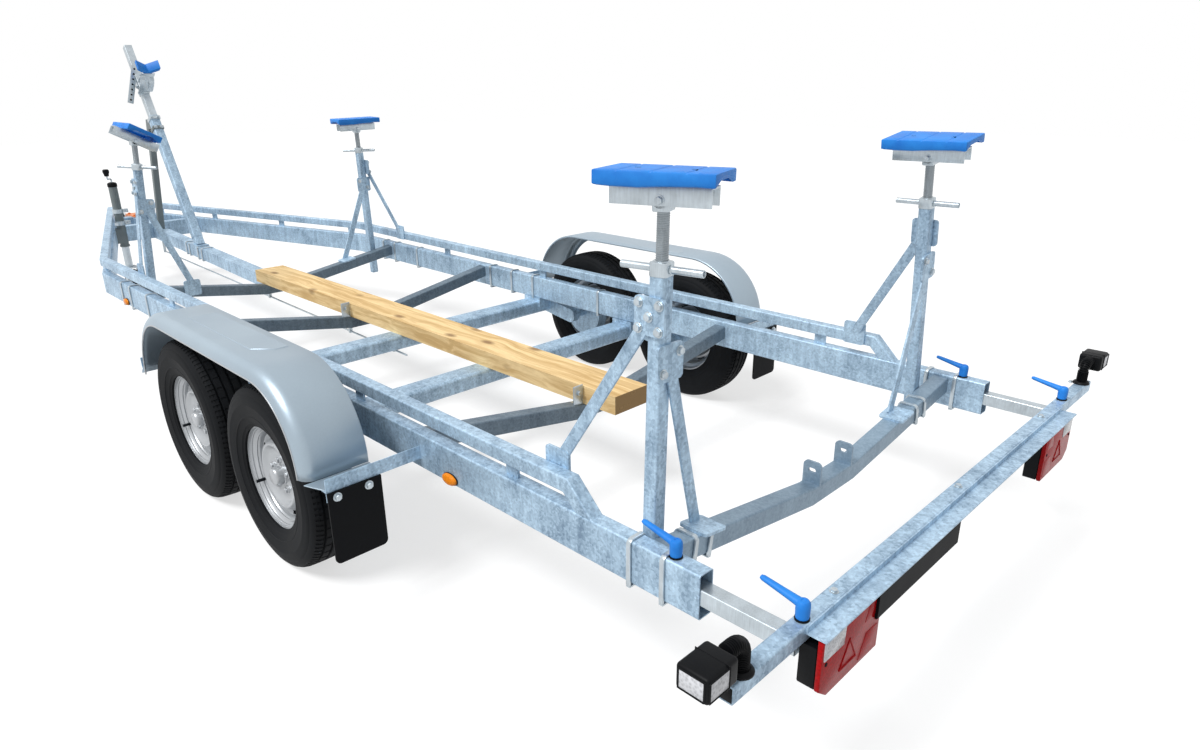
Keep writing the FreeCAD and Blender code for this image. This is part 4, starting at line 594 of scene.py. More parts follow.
def make_materials():
    tone = colours()
    steel, zinc, black = tuple(tone.steel), tuple(tone.zinc), tuple(tone.black)
    MATERIALS.update({
        "galvanised": galvanised("galvanised steel", steel),
        # A smoother copy of the galvanised steel for the rear beam, with fewer streaks as its own finish, darkened
        # to 0.66 as painted shade where the beam faces rearwards, away from the light
        "smooth beam steel in painted shade": galvanised("smooth beam steel in painted shade", shade(steel, 0.66), 0.45, 0.34, 0.5, streaks=0.25),
        # A darker copy of the galvanised steel for the cross members, darkened to 0.36 as painted shade where they
        # lie beneath the rails
        "steel in painted shade": galvanised("steel in painted shade", shade(steel, 0.36), 0.35, 0.42, 0.8, streaks=0.6),
        "rod": plated("threaded rod", shade(zinc, 0.62), 0.7, 0.32),
        "zinc": plated("zinc plate", zinc),
        "fender": fender_sheet(),
        "blue": blue_plastic(),
        "pine": pine_wood(),
        "rim": painted("silver paint", tuple(tone.silver), 0.62, 0.34, 240.0, depth=0.0003, spread=0.10),
        "tyre": tyre_rubber(),
        "black": painted("black plastic", black, 0.0, 0.46, 260.0, 0.0005, spread=0.30, gloss=0.12),
        "rubber": painted("black rubber", black, 0.0, 0.60, 180.0, 0.0006, spread=0.35, gloss=0.10),
        "dark": painted("dark paint", DARK_PAINT, 0.25, 0.45, grain=150.0, spread=0.22, gloss=0.3),
        # The hollow finish paints shade inside slots, holes, dimples and handle ends, and is the valve's own dark
        # rubber
        "hollow": painted("painted hollow shade and dark rubber", HOLLOW_SHADE_AND_RUBBER, 0.0, 0.80, grain=120.0, spread=0.30, gloss=0.1),
        "amber": lens("amber lens", tuple(tone.amber), 220.0),
        "lamp": lens("red lens", tuple(tone.red), 180.0, 0.28),
        "clear": lens("clear lens", CLEAR_LENS, 150.0, 0.08),
        "orange": painted("orange paint", tuple(tone.orange), 0.0, 0.40, grain=180.0, spread=0.15),
    })


def material(name):
    return MATERIALS[name]


# The rear beam and the cross members take darker copies of the galvanised steel, whose darkening is painted shade.
FINISH_OF_NODE = {
    "rear_beam": "smooth beam steel in painted shade", "cross_front": "steel in painted shade", "cross_middle": "steel in painted shade",
    "cross_rear": "steel in painted shade", "bow_leg": "dark", "jockey_tube": "dark",
    "light_board": "galvanised", "plate_holder": "rubber",
}


def dress_frame_nodes():
    """Puts on each node of the frame the finish of its record, or the one named above."""
    for part in frame["record"]["subparts"]:
        node = frame["nodes"][part["node"]]
        finish = FINISH_OF_NODE.get(part["node"], part["material_slot"])
        for slot in node.material_slots:
            slot.material = material(finish)
        if not node.material_slots:
            node.data.materials.append(material(finish))


# Fasteners


STRAP_THICK = 0.006
STRAP_BEND = 0.010
STRAP_TAIL = 0.004
STRAP_EDGE = 0.0022
STRAP_GAP = 0.0005
BEND_STEPS = 5
TREES = {}


def add_bolt(piece, point, way, finish, radius):
    """A hexagon head on a washer, standing on a face."""
    stand = facing(point, way)
    piece.add(rod(radius * 1.35, radius * 0.22, 20), stand, finish)
    piece.add(rod(radius, radius * 0.85, 6, radius * 0.08), shifted(stand, z=radius * 0.2), finish, False)


def add_nut_end(piece, point, way, finish, radius):
    """A nut with the end of its rod standing out."""
    add_bolt(piece, point, way, finish, radius)
    piece.add(rod(radius * 0.5, radius * 1.9, 12, radius * 0.08), facing(point, way), finish)


def strap_outline(width, height):
    """A flat strap bent round three sides of a tube, seen along the tube."""
    points = []
    for out, way in ((STRAP_THICK, 1), (0.0, -1)):
        half = width / 2 + out
        top = height / 2 + out
        radius = STRAP_BEND + out
        row = [(-half, -height / 2 - STRAP_TAIL)]
        for side, start in ((-1, 180), (1, 90)):
            for step in range(BEND_STEPS + 1):
                angle = math.radians(start - 90 * step / BEND_STEPS)
                row.append((side * (half - radius) + radius * math.cos(angle),
                            top - radius + radius * math.sin(angle)))
        row.append((half, -height / 2 - STRAP_TAIL))
        points += row[::way]
    return points


def add_strap(piece, centre, along, up, width, height):
    """A flat strap over a tube, closed by a bar below."""
    band = bpy.context.scene.trailer_fittings.strap
    z = Vector(along).normalized()
    y = Vector(up).normalized()
    x = y.cross(z)
    piece.add(prism(strap_outline(width, height), band, STRAP_EDGE), axes(centre - z * band / 2, x, y, z))
    low = centre - y * (height / 2 + STRAP_THICK + STRAP_GAP)
    piece.add(box((width + 2 * STRAP_THICK, STRAP_THICK, band), STRAP_EDGE), axes(low, x, y, z))


def face_on_line(node, start, way):
    """Where a line from a point meets a node, and the way that the face there looks."""
    if node not in TREES:
        TREES[node] = BVHTree.FromObject(frame["nodes"][node], bpy.context.evaluated_depsgraph_get())
    point, normal = TREES[node].ray_cast(start, Vector(way).normalized())[:2]
    if point is None:
        raise ValueError(f"no face of {node} on the line from {tuple(start)}")
    return point, normal


def bolts_on(piece, node, starts, way, radius):
    """Bolts where lines from these points in one direction meet a node."""
    for start in starts:
        point, normal = face_on_line(node, start, way)
        add_bolt(piece, point, normal, 0, radius)


# Wheels


BEAD = 0.182
TREAD_DEEP = 0.007
BLOCK_INSET = 0.0016
FLANGE = 0.073
RIM_SHEET = 0.0035
DISC_SHEET = 0.005
DISC_FACE = 0.0300
SLOT_BAND = (0.1300, 0.1480)
SLOT_STEPS = 12
SLOT_OPEN = range(3, 8)
SLOT_LIP = 0.0022
SLOT_DEEP = 0.004
WHEEL_BOLTS = 5
VALVE_TURN = 205


def outward(name):
    """The way from the trailer's middle to a side, named at the end of a node's or corner's name."""
    return Y_AXIS * SIDES[name.split("_")[-1]]


def tyre_outline(half, outer):
    """Half of a tyre's section from the middle of the tread to the bead, as (radius, side) points."""
    deep = outer - TREAD_DEEP
    return [
        (outer, 0.0), (outer, half * 0.10), (deep, half * 0.12), (deep, half * 0.19),
        (outer - 0.0002, half * 0.21), (outer - 0.0010, half * 0.44), (deep - 0.001, half * 0.46),
        (deep - 0.001, half * 0.53), (outer - 0.0015, half * 0.55), (outer - 0.0045, half * 0.68),
        (outer - 0.0100, half * 0.79), (outer - 0.0185, half * 0.868), (outer - 0.0270, half * 0.912),
        (outer - 0.0310, half * 0.918), (outer - 0.0330, half * 0.938), (outer - 0.0450, half * 0.972),
        (outer - 0.0600, half * 0.995), (outer - 0.0620, half * 1.000), (outer - 0.0660, half * 1.000),
        (outer - 0.0680, half * 0.993), (outer - 0.0860, half * 0.985), (outer - 0.1020, half * 0.950),
        (outer - 0.1040, half * 0.958), (outer - 0.1075, half * 0.952), (outer - 0.1090, half * 0.930),
        (outer - 0.1200, half * 0.885), (BEAD + 0.0120, half * 0.855), (BEAD + 0.0080, half * 0.815),
        (BEAD, half * 0.790),
    ]


def build_tyre(corner, sizes):
    """A tyre whose shoulder grooves and tread blocks are faces sunk in turn round its tread."""
    low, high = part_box(f"tyre_{corner}")
    outer = (high.z - low.z) / 2
    half = (high.y - low.y) / 2
    half_section = tyre_outline(half, outer)
    section = [(radius, -side) for radius, side in reversed(half_section[1:])] + half_section + [(BEAD, 0.0)]
    steps = sizes.tread_pitches * 2
    shape = turned(section, steps, closed=True)
    grooves = []
    for face in shape.faces:
        spot = face.calc_center_median()
        reach = math.hypot(spot.x, spot.y)
        step = int(round(math.atan2(spot.y, spot.x) / math.tau * steps - 0.5))
        shoulder = half * 0.60 < abs(spot.z) < half * 0.80 and reach > outer - 0.025
        inner_block = half * 0.22 < abs(spot.z) < half * 0.42 and reach > outer - 0.004
        if (shoulder and step % 2 == 0) or (inner_block and step % 4 == (0 if spot.z > 0 else 2)):
            grooves.append(face)
    bmesh.ops.inset_individual(shape, faces=grooves, thickness=BLOCK_INSET, depth=-sizes.groove_depth)
    piece = Piece(f"tyre_{corner}_tread", "tyre")
    piece.add(shape, facing(WHEEL_CENTRES[corner], outward(corner)))
    piece.done(f"wheel_{corner}", "tyre", f"tyre_{corner}", sharp=28.0)


def rim_barrel():
    """The rim's deep barrel between its two rolled flanges."""
    outside = [
        (0.1875, FLANGE), (0.1915, FLANGE - 0.001), (0.1920, FLANGE - 0.004), (0.1900, FLANGE - 0.0085),
        (0.1810, FLANGE - 0.0095), (0.1790, FLANGE - 0.020), (0.1740, FLANGE - 0.027),
        (0.1640, FLANGE - 0.033), (0.1590, FLANGE - 0.041), (0.1580, 0.012), (0.1580, -0.012),
        (0.1620, -0.030), (0.1760, -0.040), (0.1790, -FLANGE + 0.020), (0.1810, -FLANGE + 0.0095),
        (0.1900, -FLANGE + 0.0085), (0.1920, -FLANGE + 0.004), (0.1915, -FLANGE + 0.001),
        (0.1875, -FLANGE),
    ]
    inside = [(radius - RIM_SHEET, side * 0.972) for radius, side in reversed(outside)]
    inside[0] = (0.1855, -FLANGE + 0.001)
    inside[-1] = (0.1855, FLANGE - 0.001)
    return turned(outside + inside, 96, closed=True)


def rim_disc(slots):
    """The dished disc, with a row of slots pressed into it, painted near-black inside as the shade in them."""
    front = [
        (0.1545, 0.020), (0.1480, 0.0245), (0.1390, 0.0215), (0.1300, 0.0215), (0.1240, 0.0300),
        (0.1190, 0.0405), (0.1140, 0.0450), (0.1080, 0.0445), (0.1020, 0.0400), (0.0960, 0.0340),
        (0.0880, 0.0305), (0.0780, DISC_FACE), (0.0440, DISC_FACE), (0.0400, DISC_FACE), (0.0330, DISC_FACE),
    ]
    back = [(radius, side - DISC_SHEET) for radius, side in reversed(front)]
    steps = slots * SLOT_STEPS
    disc = turned(front + back, steps, closed=True)
    open_faces = []
    for face in disc.faces:
        face.material_index = 0
        spot = face.calc_center_median()
        step = int(math.floor(math.atan2(spot.y, spot.x) / math.tau * steps))
        in_band = SLOT_BAND[0] < math.hypot(spot.x, spot.y) < SLOT_BAND[1] and spot.z > 0.018
        if in_band and step % SLOT_STEPS in SLOT_OPEN:
            open_faces.append(face)
    bmesh.ops.inset_region(disc, faces=open_faces, thickness=SLOT_LIP, depth=0.0, use_even_offset=True)
    # The slots' floors and walls take the second finish, near-black as the shade inside them
    for face in open_faces:
        face.material_index = 1
    dug = bmesh.ops.extrude_face_region(disc, geom=open_faces)
    bmesh.ops.translate(disc, verts=moved_verts(dug), vec=(0, 0, -SLOT_DEEP))
    for face in dug["geom"]:
        if isinstance(face, bmesh.types.BMFace):
            face.material_index = 1
    bmesh.ops.delete(disc, geom=open_faces, context="FACES")
    return disc


def build_rim(corner, sizes):
    """A steel rim: flanges, deep barrel, dished disc with slots, hub, wheel bolts and valve."""
    centre = WHEEL_CENTRES[corner]
    way = outward(corner)
    stand = facing(centre, way)
    piece = Piece(f"rim_{corner}_wheel", "rim", "hollow", "galvanised")
    piece.add(rim_barrel(), stand)
    for radius, side in ((0.1610, 0.040), (0.1575, 0.030), (0.1755, 0.051)):
        ridge = [(radius + 0.001, side - 0.003), (radius - 0.0022, side - 0.0012),
                 (radius - 0.0022, side + 0.0012), (radius + 0.001, side + 0.003)]
        piece.add(turned(ridge, 96), stand)
    piece.add(rim_disc(sizes.rim_slots), stand, None)
    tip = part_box(f"axle_{corner.split('_')[0]}")[1].y - abs(centre.y) + 0.0015
    hub = [(0.0, tip), (0.0230, tip), (0.0290, tip - 0.0030), (0.0325, tip - 0.0090), (0.0330, 0.0340),
           (0.0370, 0.0320), (0.0380, 0.0200)]
    piece.add(turned(hub, 40), stand)
    for number in range(WHEEL_BOLTS):
        angle = math.tau * (number + 0.25) / WHEEL_BOLTS
        spot = Vector((sizes.bolt_circle * math.cos(angle), sizes.bolt_circle * math.sin(angle), DISC_FACE))
        seat = facing(stand @ spot, way)
        piece.add(turned([(0.0145, 0.0), (0.0135, 0.003), (0.0100, 0.0045), (0.0098, 0.006)], 20), seat)
        piece.add(rod(0.0098, 0.012, 6, 0.0012), seat, 0, False)
    back_hub = [(0.0680, 0.026), (0.0680, -0.040), (0.0600, -0.043), (0.0, -0.043)]
    piece.add(turned(back_hub, 40), stand, 2)
    valve = shifted(stand @ Matrix.Rotation(math.radians(VALVE_TURN), 4, "Z"), 0.1540, 0.0, 0.034)
    piece.add(rod(0.0055, 0.030, 12, 0.0010), valve @ Matrix.Rotation(math.radians(12), 4, "Y"), 1)
    piece.done(f"wheel_{corner}", "rim", f"rim_{corner}", sharp=32.0)


class TRAILER_OT_wheels(bpy.types.Operator):
    """Builds the four tyres with their tread and the four rims"""

    bl_idname = "trailer.wheels"
    bl_label = "Wheels"

    def execute(self, context):
        sizes = context.scene.trailer_wheels
        for corner in CORNERS:
            build_tyre(corner, sizes)
            build_rim(corner, sizes)
        return {"FINISHED"}


# Pads on their spindles


PAD_LONG = 0.270
PAD_WIDE = 0.170
PAD_TOP = 0.033
PAD_HOLLOW = 0.022
PAD_SEAT = 0.031
PAD_SHARES = (-0.27, 0.02, 0.30)
DIMPLE_SHARES = (-0.25, 0.22)
CHANNEL_LONG = 0.230
CHANNEL_HALF = 0.0333
CHANNEL_WALL = 0.005
CHANNEL_LOW = -0.012
PIN_BOLT = 0.009
SCREW_LONG = 0.420
SCREW_TOP = 0.026
SCREW_RADIUS = 0.0140
THREAD_IN = 0.0128
THREAD_OUT = 0.0150
THREAD_TURNS = 52
THREAD_STEPS = 14
BLOCK_WIDE = 0.054
NUT_SIDE = 0.046
NUT_HIGH = 0.034
# Whether a pad lies across, its tilt and its nut's turn in degrees, and the nut's drop in millimetres
PADS = {
    "front_left": (True, -25.0, 90.0, 155),
    "front_right": (False, 0.0, 80.0, 155),
    "rear_left": (False, 0.0, 22.0, 169),
    "rear_right": (False, 0.0, 4.0, 169),
}


def pin_frame(corner):
    """The frame of a pad's pin: Y along the pin, Z up the spindle."""
    pin = JOINTS[f"pad_{corner}_tilt"]
    y = Vector(pin["axis"]).normalized()
    z = Vector(JOINTS[f"spindle_{corner}_lift"]["axis"]).normalized()
    x = y.cross(z).normalized()
    return axes(Vector(pin["pos_m"]), x, y, x.cross(y))


def pad_slab(groove):
    """A shallow upturned tray: its long side is grooved on top and sags in the middle underneath."""
    half = PAD_LONG / 2
    upper = [(-half, PAD_TOP)]
    for share in PAD_SHARES:
        middle = share * PAD_LONG
        upper += [(middle - groove, PAD_TOP), (middle - groove * 0.35, PAD_TOP - 0.0016),
                  (middle + groove * 0.35, PAD_TOP - 0.0016), (middle + groove, PAD_TOP)]
    upper.append((half, PAD_TOP))
    lower = [(half, 0.002), (half * 0.70, 0.0), (half * 0.25, 0.0), (-half * 0.20, 0.004),
             (-half * 0.7, 0.006), (-half, 0.004)]
    shape = prism(upper + lower, PAD_WIDE)
    bmesh.ops.rotate(shape, verts=shape.verts, matrix=Matrix.Rotation(math.pi / 2, 3, "X"))
    bmesh.ops.translate(shape, verts=shape.verts, vec=(0, PAD_WIDE / 2, 0))
    outer = [edge for edge in shape.edges if edge.is_contiguous and edge.calc_face_angle() > 0.9]
    round_edges(shape, outer, 0.0035)
    under = [face for face in shape.faces if face.normal.z < -0.9]
    bmesh.ops.inset_region(shape, faces=under, thickness=0.006, use_even_offset=True)
    dug = bmesh.ops.extrude_face_region(shape, geom=under)
    bmesh.ops.translate(shape, verts=moved_verts(dug), vec=(0, 0, PAD_HOLLOW))
    bmesh.ops.delete(shape, geom=under, context="FACES")
    for side in (-1, 1):
        bmesh.ops.bisect_plane(shape, geom=shape.verts[:] + shape.edges[:] + shape.faces[:],
                               plane_co=(0, side * PAD_WIDE * 0.24, 0), plane_no=(0, 1, 0))
    ends = [vert for vert in shape.verts if abs(vert.co.x) > half - 0.012
            and abs(vert.co.y) < PAD_WIDE * 0.25 and vert.co.z < 0.012]
    bmesh.ops.translate(shape, verts=ends, vec=(0, 0, 0.012))
    bmesh.ops.recalc_face_normals(shape, faces=shape.faces)
    return shape


def build_pad(corner, sizes):
    """A blue pad on its steel channel, with the pin's bolt through the channel's walls."""
    stand = pin_frame(corner)
    across, tilt = PADS[corner][:2]
    tilted = stand @ Matrix.Rotation(math.radians(tilt), 4, "Y")
    quarter = Matrix.Rotation(math.pi / 2, 4, "Z") if across else Matrix.Identity(4)
    piece = Piece(f"pad_{corner}_top", "blue", "zinc", "hollow")
    piece.add(pad_slab(sizes.pad_groove), shifted(tilted, z=PAD_SEAT) @ quarter)
    # The dimples are painted near-black as the shade inside them
    for share in DIMPLE_SHARES:
        dimple = turned([(0.0, -0.006), (0.0050, -0.006), (0.0070, 0.0003)], 16)
        piece.add(dimple, shifted(tilted @ quarter, share * PAD_LONG, 0.004, PAD_SEAT + PAD_TOP), 2)
    half, inner = CHANNEL_HALF, CHANNEL_HALF - CHANNEL_WALL
    roof = PAD_SEAT - CHANNEL_WALL
    channel = [(-half, CHANNEL_LOW), (-inner, CHANNEL_LOW), (-inner, roof), (inner, roof),
               (inner, CHANNEL_LOW), (half, CHANNEL_LOW), (half, PAD_SEAT), (-half, PAD_SEAT)]
    lay = axes(Vector((-CHANNEL_LONG / 2, 0, 0)), Y_AXIS, Z_AXIS, X_AXIS)
    piece.add(prism(channel, CHANNEL_LONG, 0.0012), tilted @ lay, 1)
    pin_way = stand.to_3x3() @ Y_AXIS
    add_bolt(piece, stand @ Vector((0, half, 0)), pin_way, 1, PIN_BOLT)
    add_nut_end(piece, stand @ Vector((0, -half, 0)), -pin_way, 1, PIN_BOLT)
    piece.done(f"pad_{corner}", "blue", f"pad_{corner}", sharp=30.0)


def build_spindle(corner, sizes):
    """A threaded rod with a forked block at its top."""
    stand = pin_frame(corner)
    piece = Piece(f"spindle_{corner}_screw", "zinc", "rod")
    piece.add(rod(SCREW_RADIUS, SCREW_LONG - SCREW_TOP, 24), shifted(stand, z=-SCREW_LONG), 1)
    pitch = sizes.thread_pitch
    ridge = ((THREAD_IN, 0, 0), (THREAD_OUT, 0, pitch * 0.40), (THREAD_OUT, 0, pitch * 0.60),
             (THREAD_IN, 0, pitch * 0.98))
    shape = bmesh.new()
    verts = [shape.verts.new(place) for place in ridge]
    edges = [shape.edges.new(pair) for pair in zip(verts, verts[1:])]
    bmesh.ops.spin(shape, geom=verts + edges, cent=(0, 0, 0), axis=(0, 0, 1),
                   dvec=(0, 0, pitch / THREAD_STEPS), angle=math.tau * THREAD_TURNS,
                   steps=THREAD_STEPS * THREAD_TURNS, use_merge=False)
    bmesh.ops.recalc_face_normals(shape, faces=shape.faces)
    piece.add(shape, shifted(stand, z=-SCREW_TOP - pitch * (THREAD_TURNS + 1)), 1)
    piece.add(box((0.038, BLOCK_WIDE, 0.036), 0.004), shifted(stand, z=-0.008))
    knuckle = shifted(stand, y=-BLOCK_WIDE / 2) @ Matrix.Rotation(-math.pi / 2, 4, "X")
    piece.add(rod(0.0195, BLOCK_WIDE, 28, 0.001), knuckle)
    piece.done(f"spindle_{corner}", "zinc", f"spindle_{corner}")


def upright_edge(edge):
    return abs(edge.verts[0].co.z - edge.verts[1].co.z) > NUT_HIGH / 2


def level_edge(edge):
    return abs(edge.verts[0].co.z - edge.verts[1].co.z) < MM and edge.calc_face_angle() > 1.2


def build_spindle_nuts():
    """The square nuts on the posts, each with two hollow handles."""
    piece = Piece("spindle_nut_handles", "zinc", "hollow")
    collar = [(0.0155, 0.017), (0.0155, 0.0195), (0.0200, 0.0185), (0.0205, 0.0165)]
    handle = [(0.0090, 0.020), (0.0090, 0.104), (0.0083, 0.1048), (0.0070, 0.1048), (0.0066, 0.1040),
              (0.0066, 0.075)]
    root = [(0.0090, 0.0225), (0.0108, 0.0235), (0.0115, 0.0260), (0.0090, 0.0275)]
    for corner in CORNERS:
        turn, drop = PADS[corner][2:]
        stand = pin_frame(corner) @ Matrix.Rotation(math.radians(-turn / 2), 4, "Z")
        seat = shifted(stand, z=-drop * MM + NUT_HIGH / 2)
        body = box((NUT_SIDE, NUT_SIDE, NUT_HIGH))
        round_edges(body, [edge for edge in body.edges if upright_edge(edge)], 0.010, 4)
        round_edges(body, [edge for edge in body.edges if level_edge(edge)], 0.003)
        piece.add(body, seat)
        piece.add(turned(collar, 32), seat)
        for side in (-1, 1):
            lay = seat @ Matrix.Rotation(side * math.pi / 2, 4, "Y")
            piece.add(turned(handle, 24), lay)
            # A near-black disc down each handle's bore paints the shade inside its hollow end
            piece.add(rod(0.0067, 0.002, 20), shifted(lay, z=0.075), 1)
            piece.add(turned(root, 24), lay)
    piece.done("chassis", "zinc", "spindle_nuts")


class TRAILER_OT_pads(bpy.types.Operator):
    """Builds the four hull pads, their threaded spindles and the nuts on the posts"""

    bl_idname = "trailer.pads"
    bl_label = "Pads and spindles"

    def execute(self, context):
        sizes = context.scene.trailer_fittings
        for corner in CORNERS:
            build_pad(corner, sizes)
            build_spindle(corner, sizes)
        build_spindle_nuts()
        return {"FINISHED"}


# Fenders


LIP = 81 * MM
PANEL = 1.5 * MM
ARCH_RADIUS = 0.300
ARCH_STEPS = 14
SHOULDER = 0.042
SHOULDER_STEPS = 8
SKIRT = 0.044
BEAD_ROLL = 0.0026
FENDER_SHEET = 0.0025


def fender_path(low, high):
    """Points and outward directions along a fender's top, front to rear."""
    radius = ARCH_RADIUS - PANEL
    rows = []
    for side in (1, -1):
        end = high.x if side > 0 else low.x
        centre = Vector((end - side * (LIP + ARCH_RADIUS), 0, high.z - ARCH_RADIUS))
        ways = [X_AXIS * (side * math.cos(turn)) + Z_AXIS * math.sin(turn)
                for turn in (math.radians(90 * step / ARCH_STEPS) for step in range(ARCH_STEPS + 1))]
        rows.append([(centre + way * radius, way) for way in ways])
    return rows[0] + list(reversed(rows[1]))


def fender_section(width):
    """A fender's section from its inner edge to its outer bead, as (across, down) points."""
    outer = []
    for step in range(SHOULDER_STEPS + 1):
        angle = math.radians(90 * step / SHOULDER_STEPS)
        outer.append((width - SHOULDER + SHOULDER * math.sin(angle), SHOULDER - SHOULDER * math.cos(angle)))
    inner = [(0.0, 0.010), (0.0005, 0.003), (0.004, 0.0)]
    return inner + outer + [(width, SKIRT)]


def build_fender(side_name):
    """The pressed arch, with a rolled bead on its outer edge and a raised panel on top."""
    node = f"fender_{side_name}"
    low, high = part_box(node)
    out = outward(node)
    width = high.y - low.y - 0.003
    edge = low.y if out.y > 0 else high.y
    stations = [axes(Vector((point.x, edge, point.z)), out, -way, out.cross(-way))
                for point, way in fender_path(low, high)]
    piece = Piece(f"{node}_sheet", "fender")
    piece.add(swept(fender_section(width), stations, closed=False))
    piece.done("chassis", "fender", node, sharp=50.0, wall=FENDER_SHEET)
    trim = Piece(f"{node}_trim", "fender", "rim")
    bead_line = [station @ Vector((width + 0.0002, SKIRT - 0.001, 0)) for station in stations]
    trim.add(tube(bead_line, BEAD_ROLL, 8), None, 1)
    wide = high.y - low.y - 0.001
    lip = [(-0.002, 0.001), (LIP, 0.001), (LIP, wide - 0.030), (0.012, wide - 0.004), (-0.002, wide)]
    for ahead, end in ((1, high.x), (-1, low.x)):
        place = axes(Vector((end - ahead * LIP, edge, low.z)), X_AXIS * ahead, out, Z_AXIS)
        trim.add(prism(lip, 0.003, 0.0008, 1), place)
    outline = [(-0.312, 0.074), (-0.250, 0.134), (0.290, 0.134), (0.290, 0.030), (-0.312, 0.030)]
    place = axes(Vector((MIDDLE, edge, high.z - 2 * PANEL)), X_AXIS, out, Z_AXIS)
    trim.add(prism(outline, PANEL * 1.9, PANEL * 0.8, 1), place)
    trim.done("chassis", "fender", node)


class TRAILER_OT_fenders(bpy.types.Operator):
    """Builds the pressed fenders with rounded shoulders and rolled edges"""

    bl_idname = "trailer.fenders"
    bl_label = "Fenders"

    def execute(self, context):
        for side_name in SIDES:
            build_fender(side_name)
        return {"FINISHED"}


# Rear lamps, levers and markers


BAR_PLACE = -2165
BAR_TOP = 531
RAIL_LINE = 829
RAIL_LEVER_PLACE = -1830
LAMP_FACE = -2213
LAMP_INNER = {"left": 587, "right": -507}
LAMP_LONG = 0.258
LAMP_HIGH = 0.155
LAMP_BASE = 0.358
LAMP_CHAMFER = 0.034
LENS_DEEP = 0.0125
HOUSING_HIGH = 0.128
HOUSING_DEEP = 0.041
REFLECTOR = ((0.104, 0.036), (0.176, 0.036), (0.140, 0.100))
LAMP_SCREWS = ((0.020, 0.088), (0.238, 0.090))
MARKER_FOOT = 1045
MARKER_HEAD = (1151, 593)
STALK_RADIUS = 0.0178
STALK_BEND = 0.030
SIDE_MARKER_PLACES = (-963, 2089)
SIDE_MARKER_HEIGHT = 429
SIDE_MARKER_DEEP = 0.0158


def lamp_outline(long, high):
    """A lamp seen from behind: across towards its outer end, and up."""
    return [(0, 0), (long - LAMP_CHAMFER, 0), (long, LAMP_CHAMFER * 0.8), (long, high), (0, high)]


def build_rear_lamps():
    """Two lamp clusters and two marker lamps on bent rubber stalks."""
    piece = Piece("rear_lamp_lenses", "lamp", "black", "clear", "zinc", "hollow")
    face = MIDDLE + LAMP_FACE * MM
    reverse_light = [(0.166, 0.100), (0.246, 0.100), (0.250, 0.104), (0.250, 0.147), (0.162, 0.147)]
    raised = ([(0.012, 0.012), (0.090, 0.012), (0.064, 0.070), (0.012, 0.070)],
              [(0.014, 0.104), (0.074, 0.104), (0.060, 0.142), (0.014, 0.142)])
    for side_name, inner in LAMP_INNER.items():
        side = SIDES[side_name]
        stand = axes(Vector((face, inner * MM, LAMP_BASE)), Y_AXIS * side, Z_AXIS, -X_AXIS)
        housing = prism(lamp_outline(LAMP_LONG - 0.004, HOUSING_HIGH), HOUSING_DEEP, 0.003)
        piece.add(housing, shifted(stand, 0.002, 0.002, -0.042), 1)
        lens_outline = lamp_outline(LAMP_LONG - 0.002, LAMP_HIGH - 0.002)
        piece.add(prism(lens_outline, LENS_DEEP, 0.003), shifted(stand, 0.001, 0.001))
        piece.add(prism(reverse_light, 0.0015, 0.0006), shifted(stand, z=0.0122), 2)
        for patch in raised:
            piece.add(prism(patch, 0.0011, 0.0004), shifted(stand, z=0.0121))
        for start, end in zip(REFLECTOR, REFLECTOR[1:] + REFLECTOR[:1]):
            points = [stand @ Vector((*start, LENS_DEEP)), stand @ Vector((*end, LENS_DEEP))]
            piece.add(tube(points, 0.0022, 6))
        for spot in LAMP_SCREWS:
            piece.add(rod(0.0045, 0.0015, 12), shifted(stand, *spot, LENS_DEEP), 4)
        bracket_y = inner * MM + side * (LAMP_LONG - 0.040)
        bracket = Matrix.Translation((face + 0.0435, bracket_y, 0.440))
        piece.add(box((0.003, 0.060, 0.095), 0.001), bracket, 3)
    for side in SIDES.values():
        add_marker_lamp(piece, side)
    piece.done("light_carrier", "lamp", "rear_lamps")


def rectangle(centre, across, up, half_wide, half_high):
    """The corners of a rectangle, with the first one again at the end."""
    corners = ((-1, -1), (1, -1), (1, 1), (-1, 1), (-1, -1))
    return [centre + across * (x * half_wide) + up * (y * half_high) for x, y in corners]


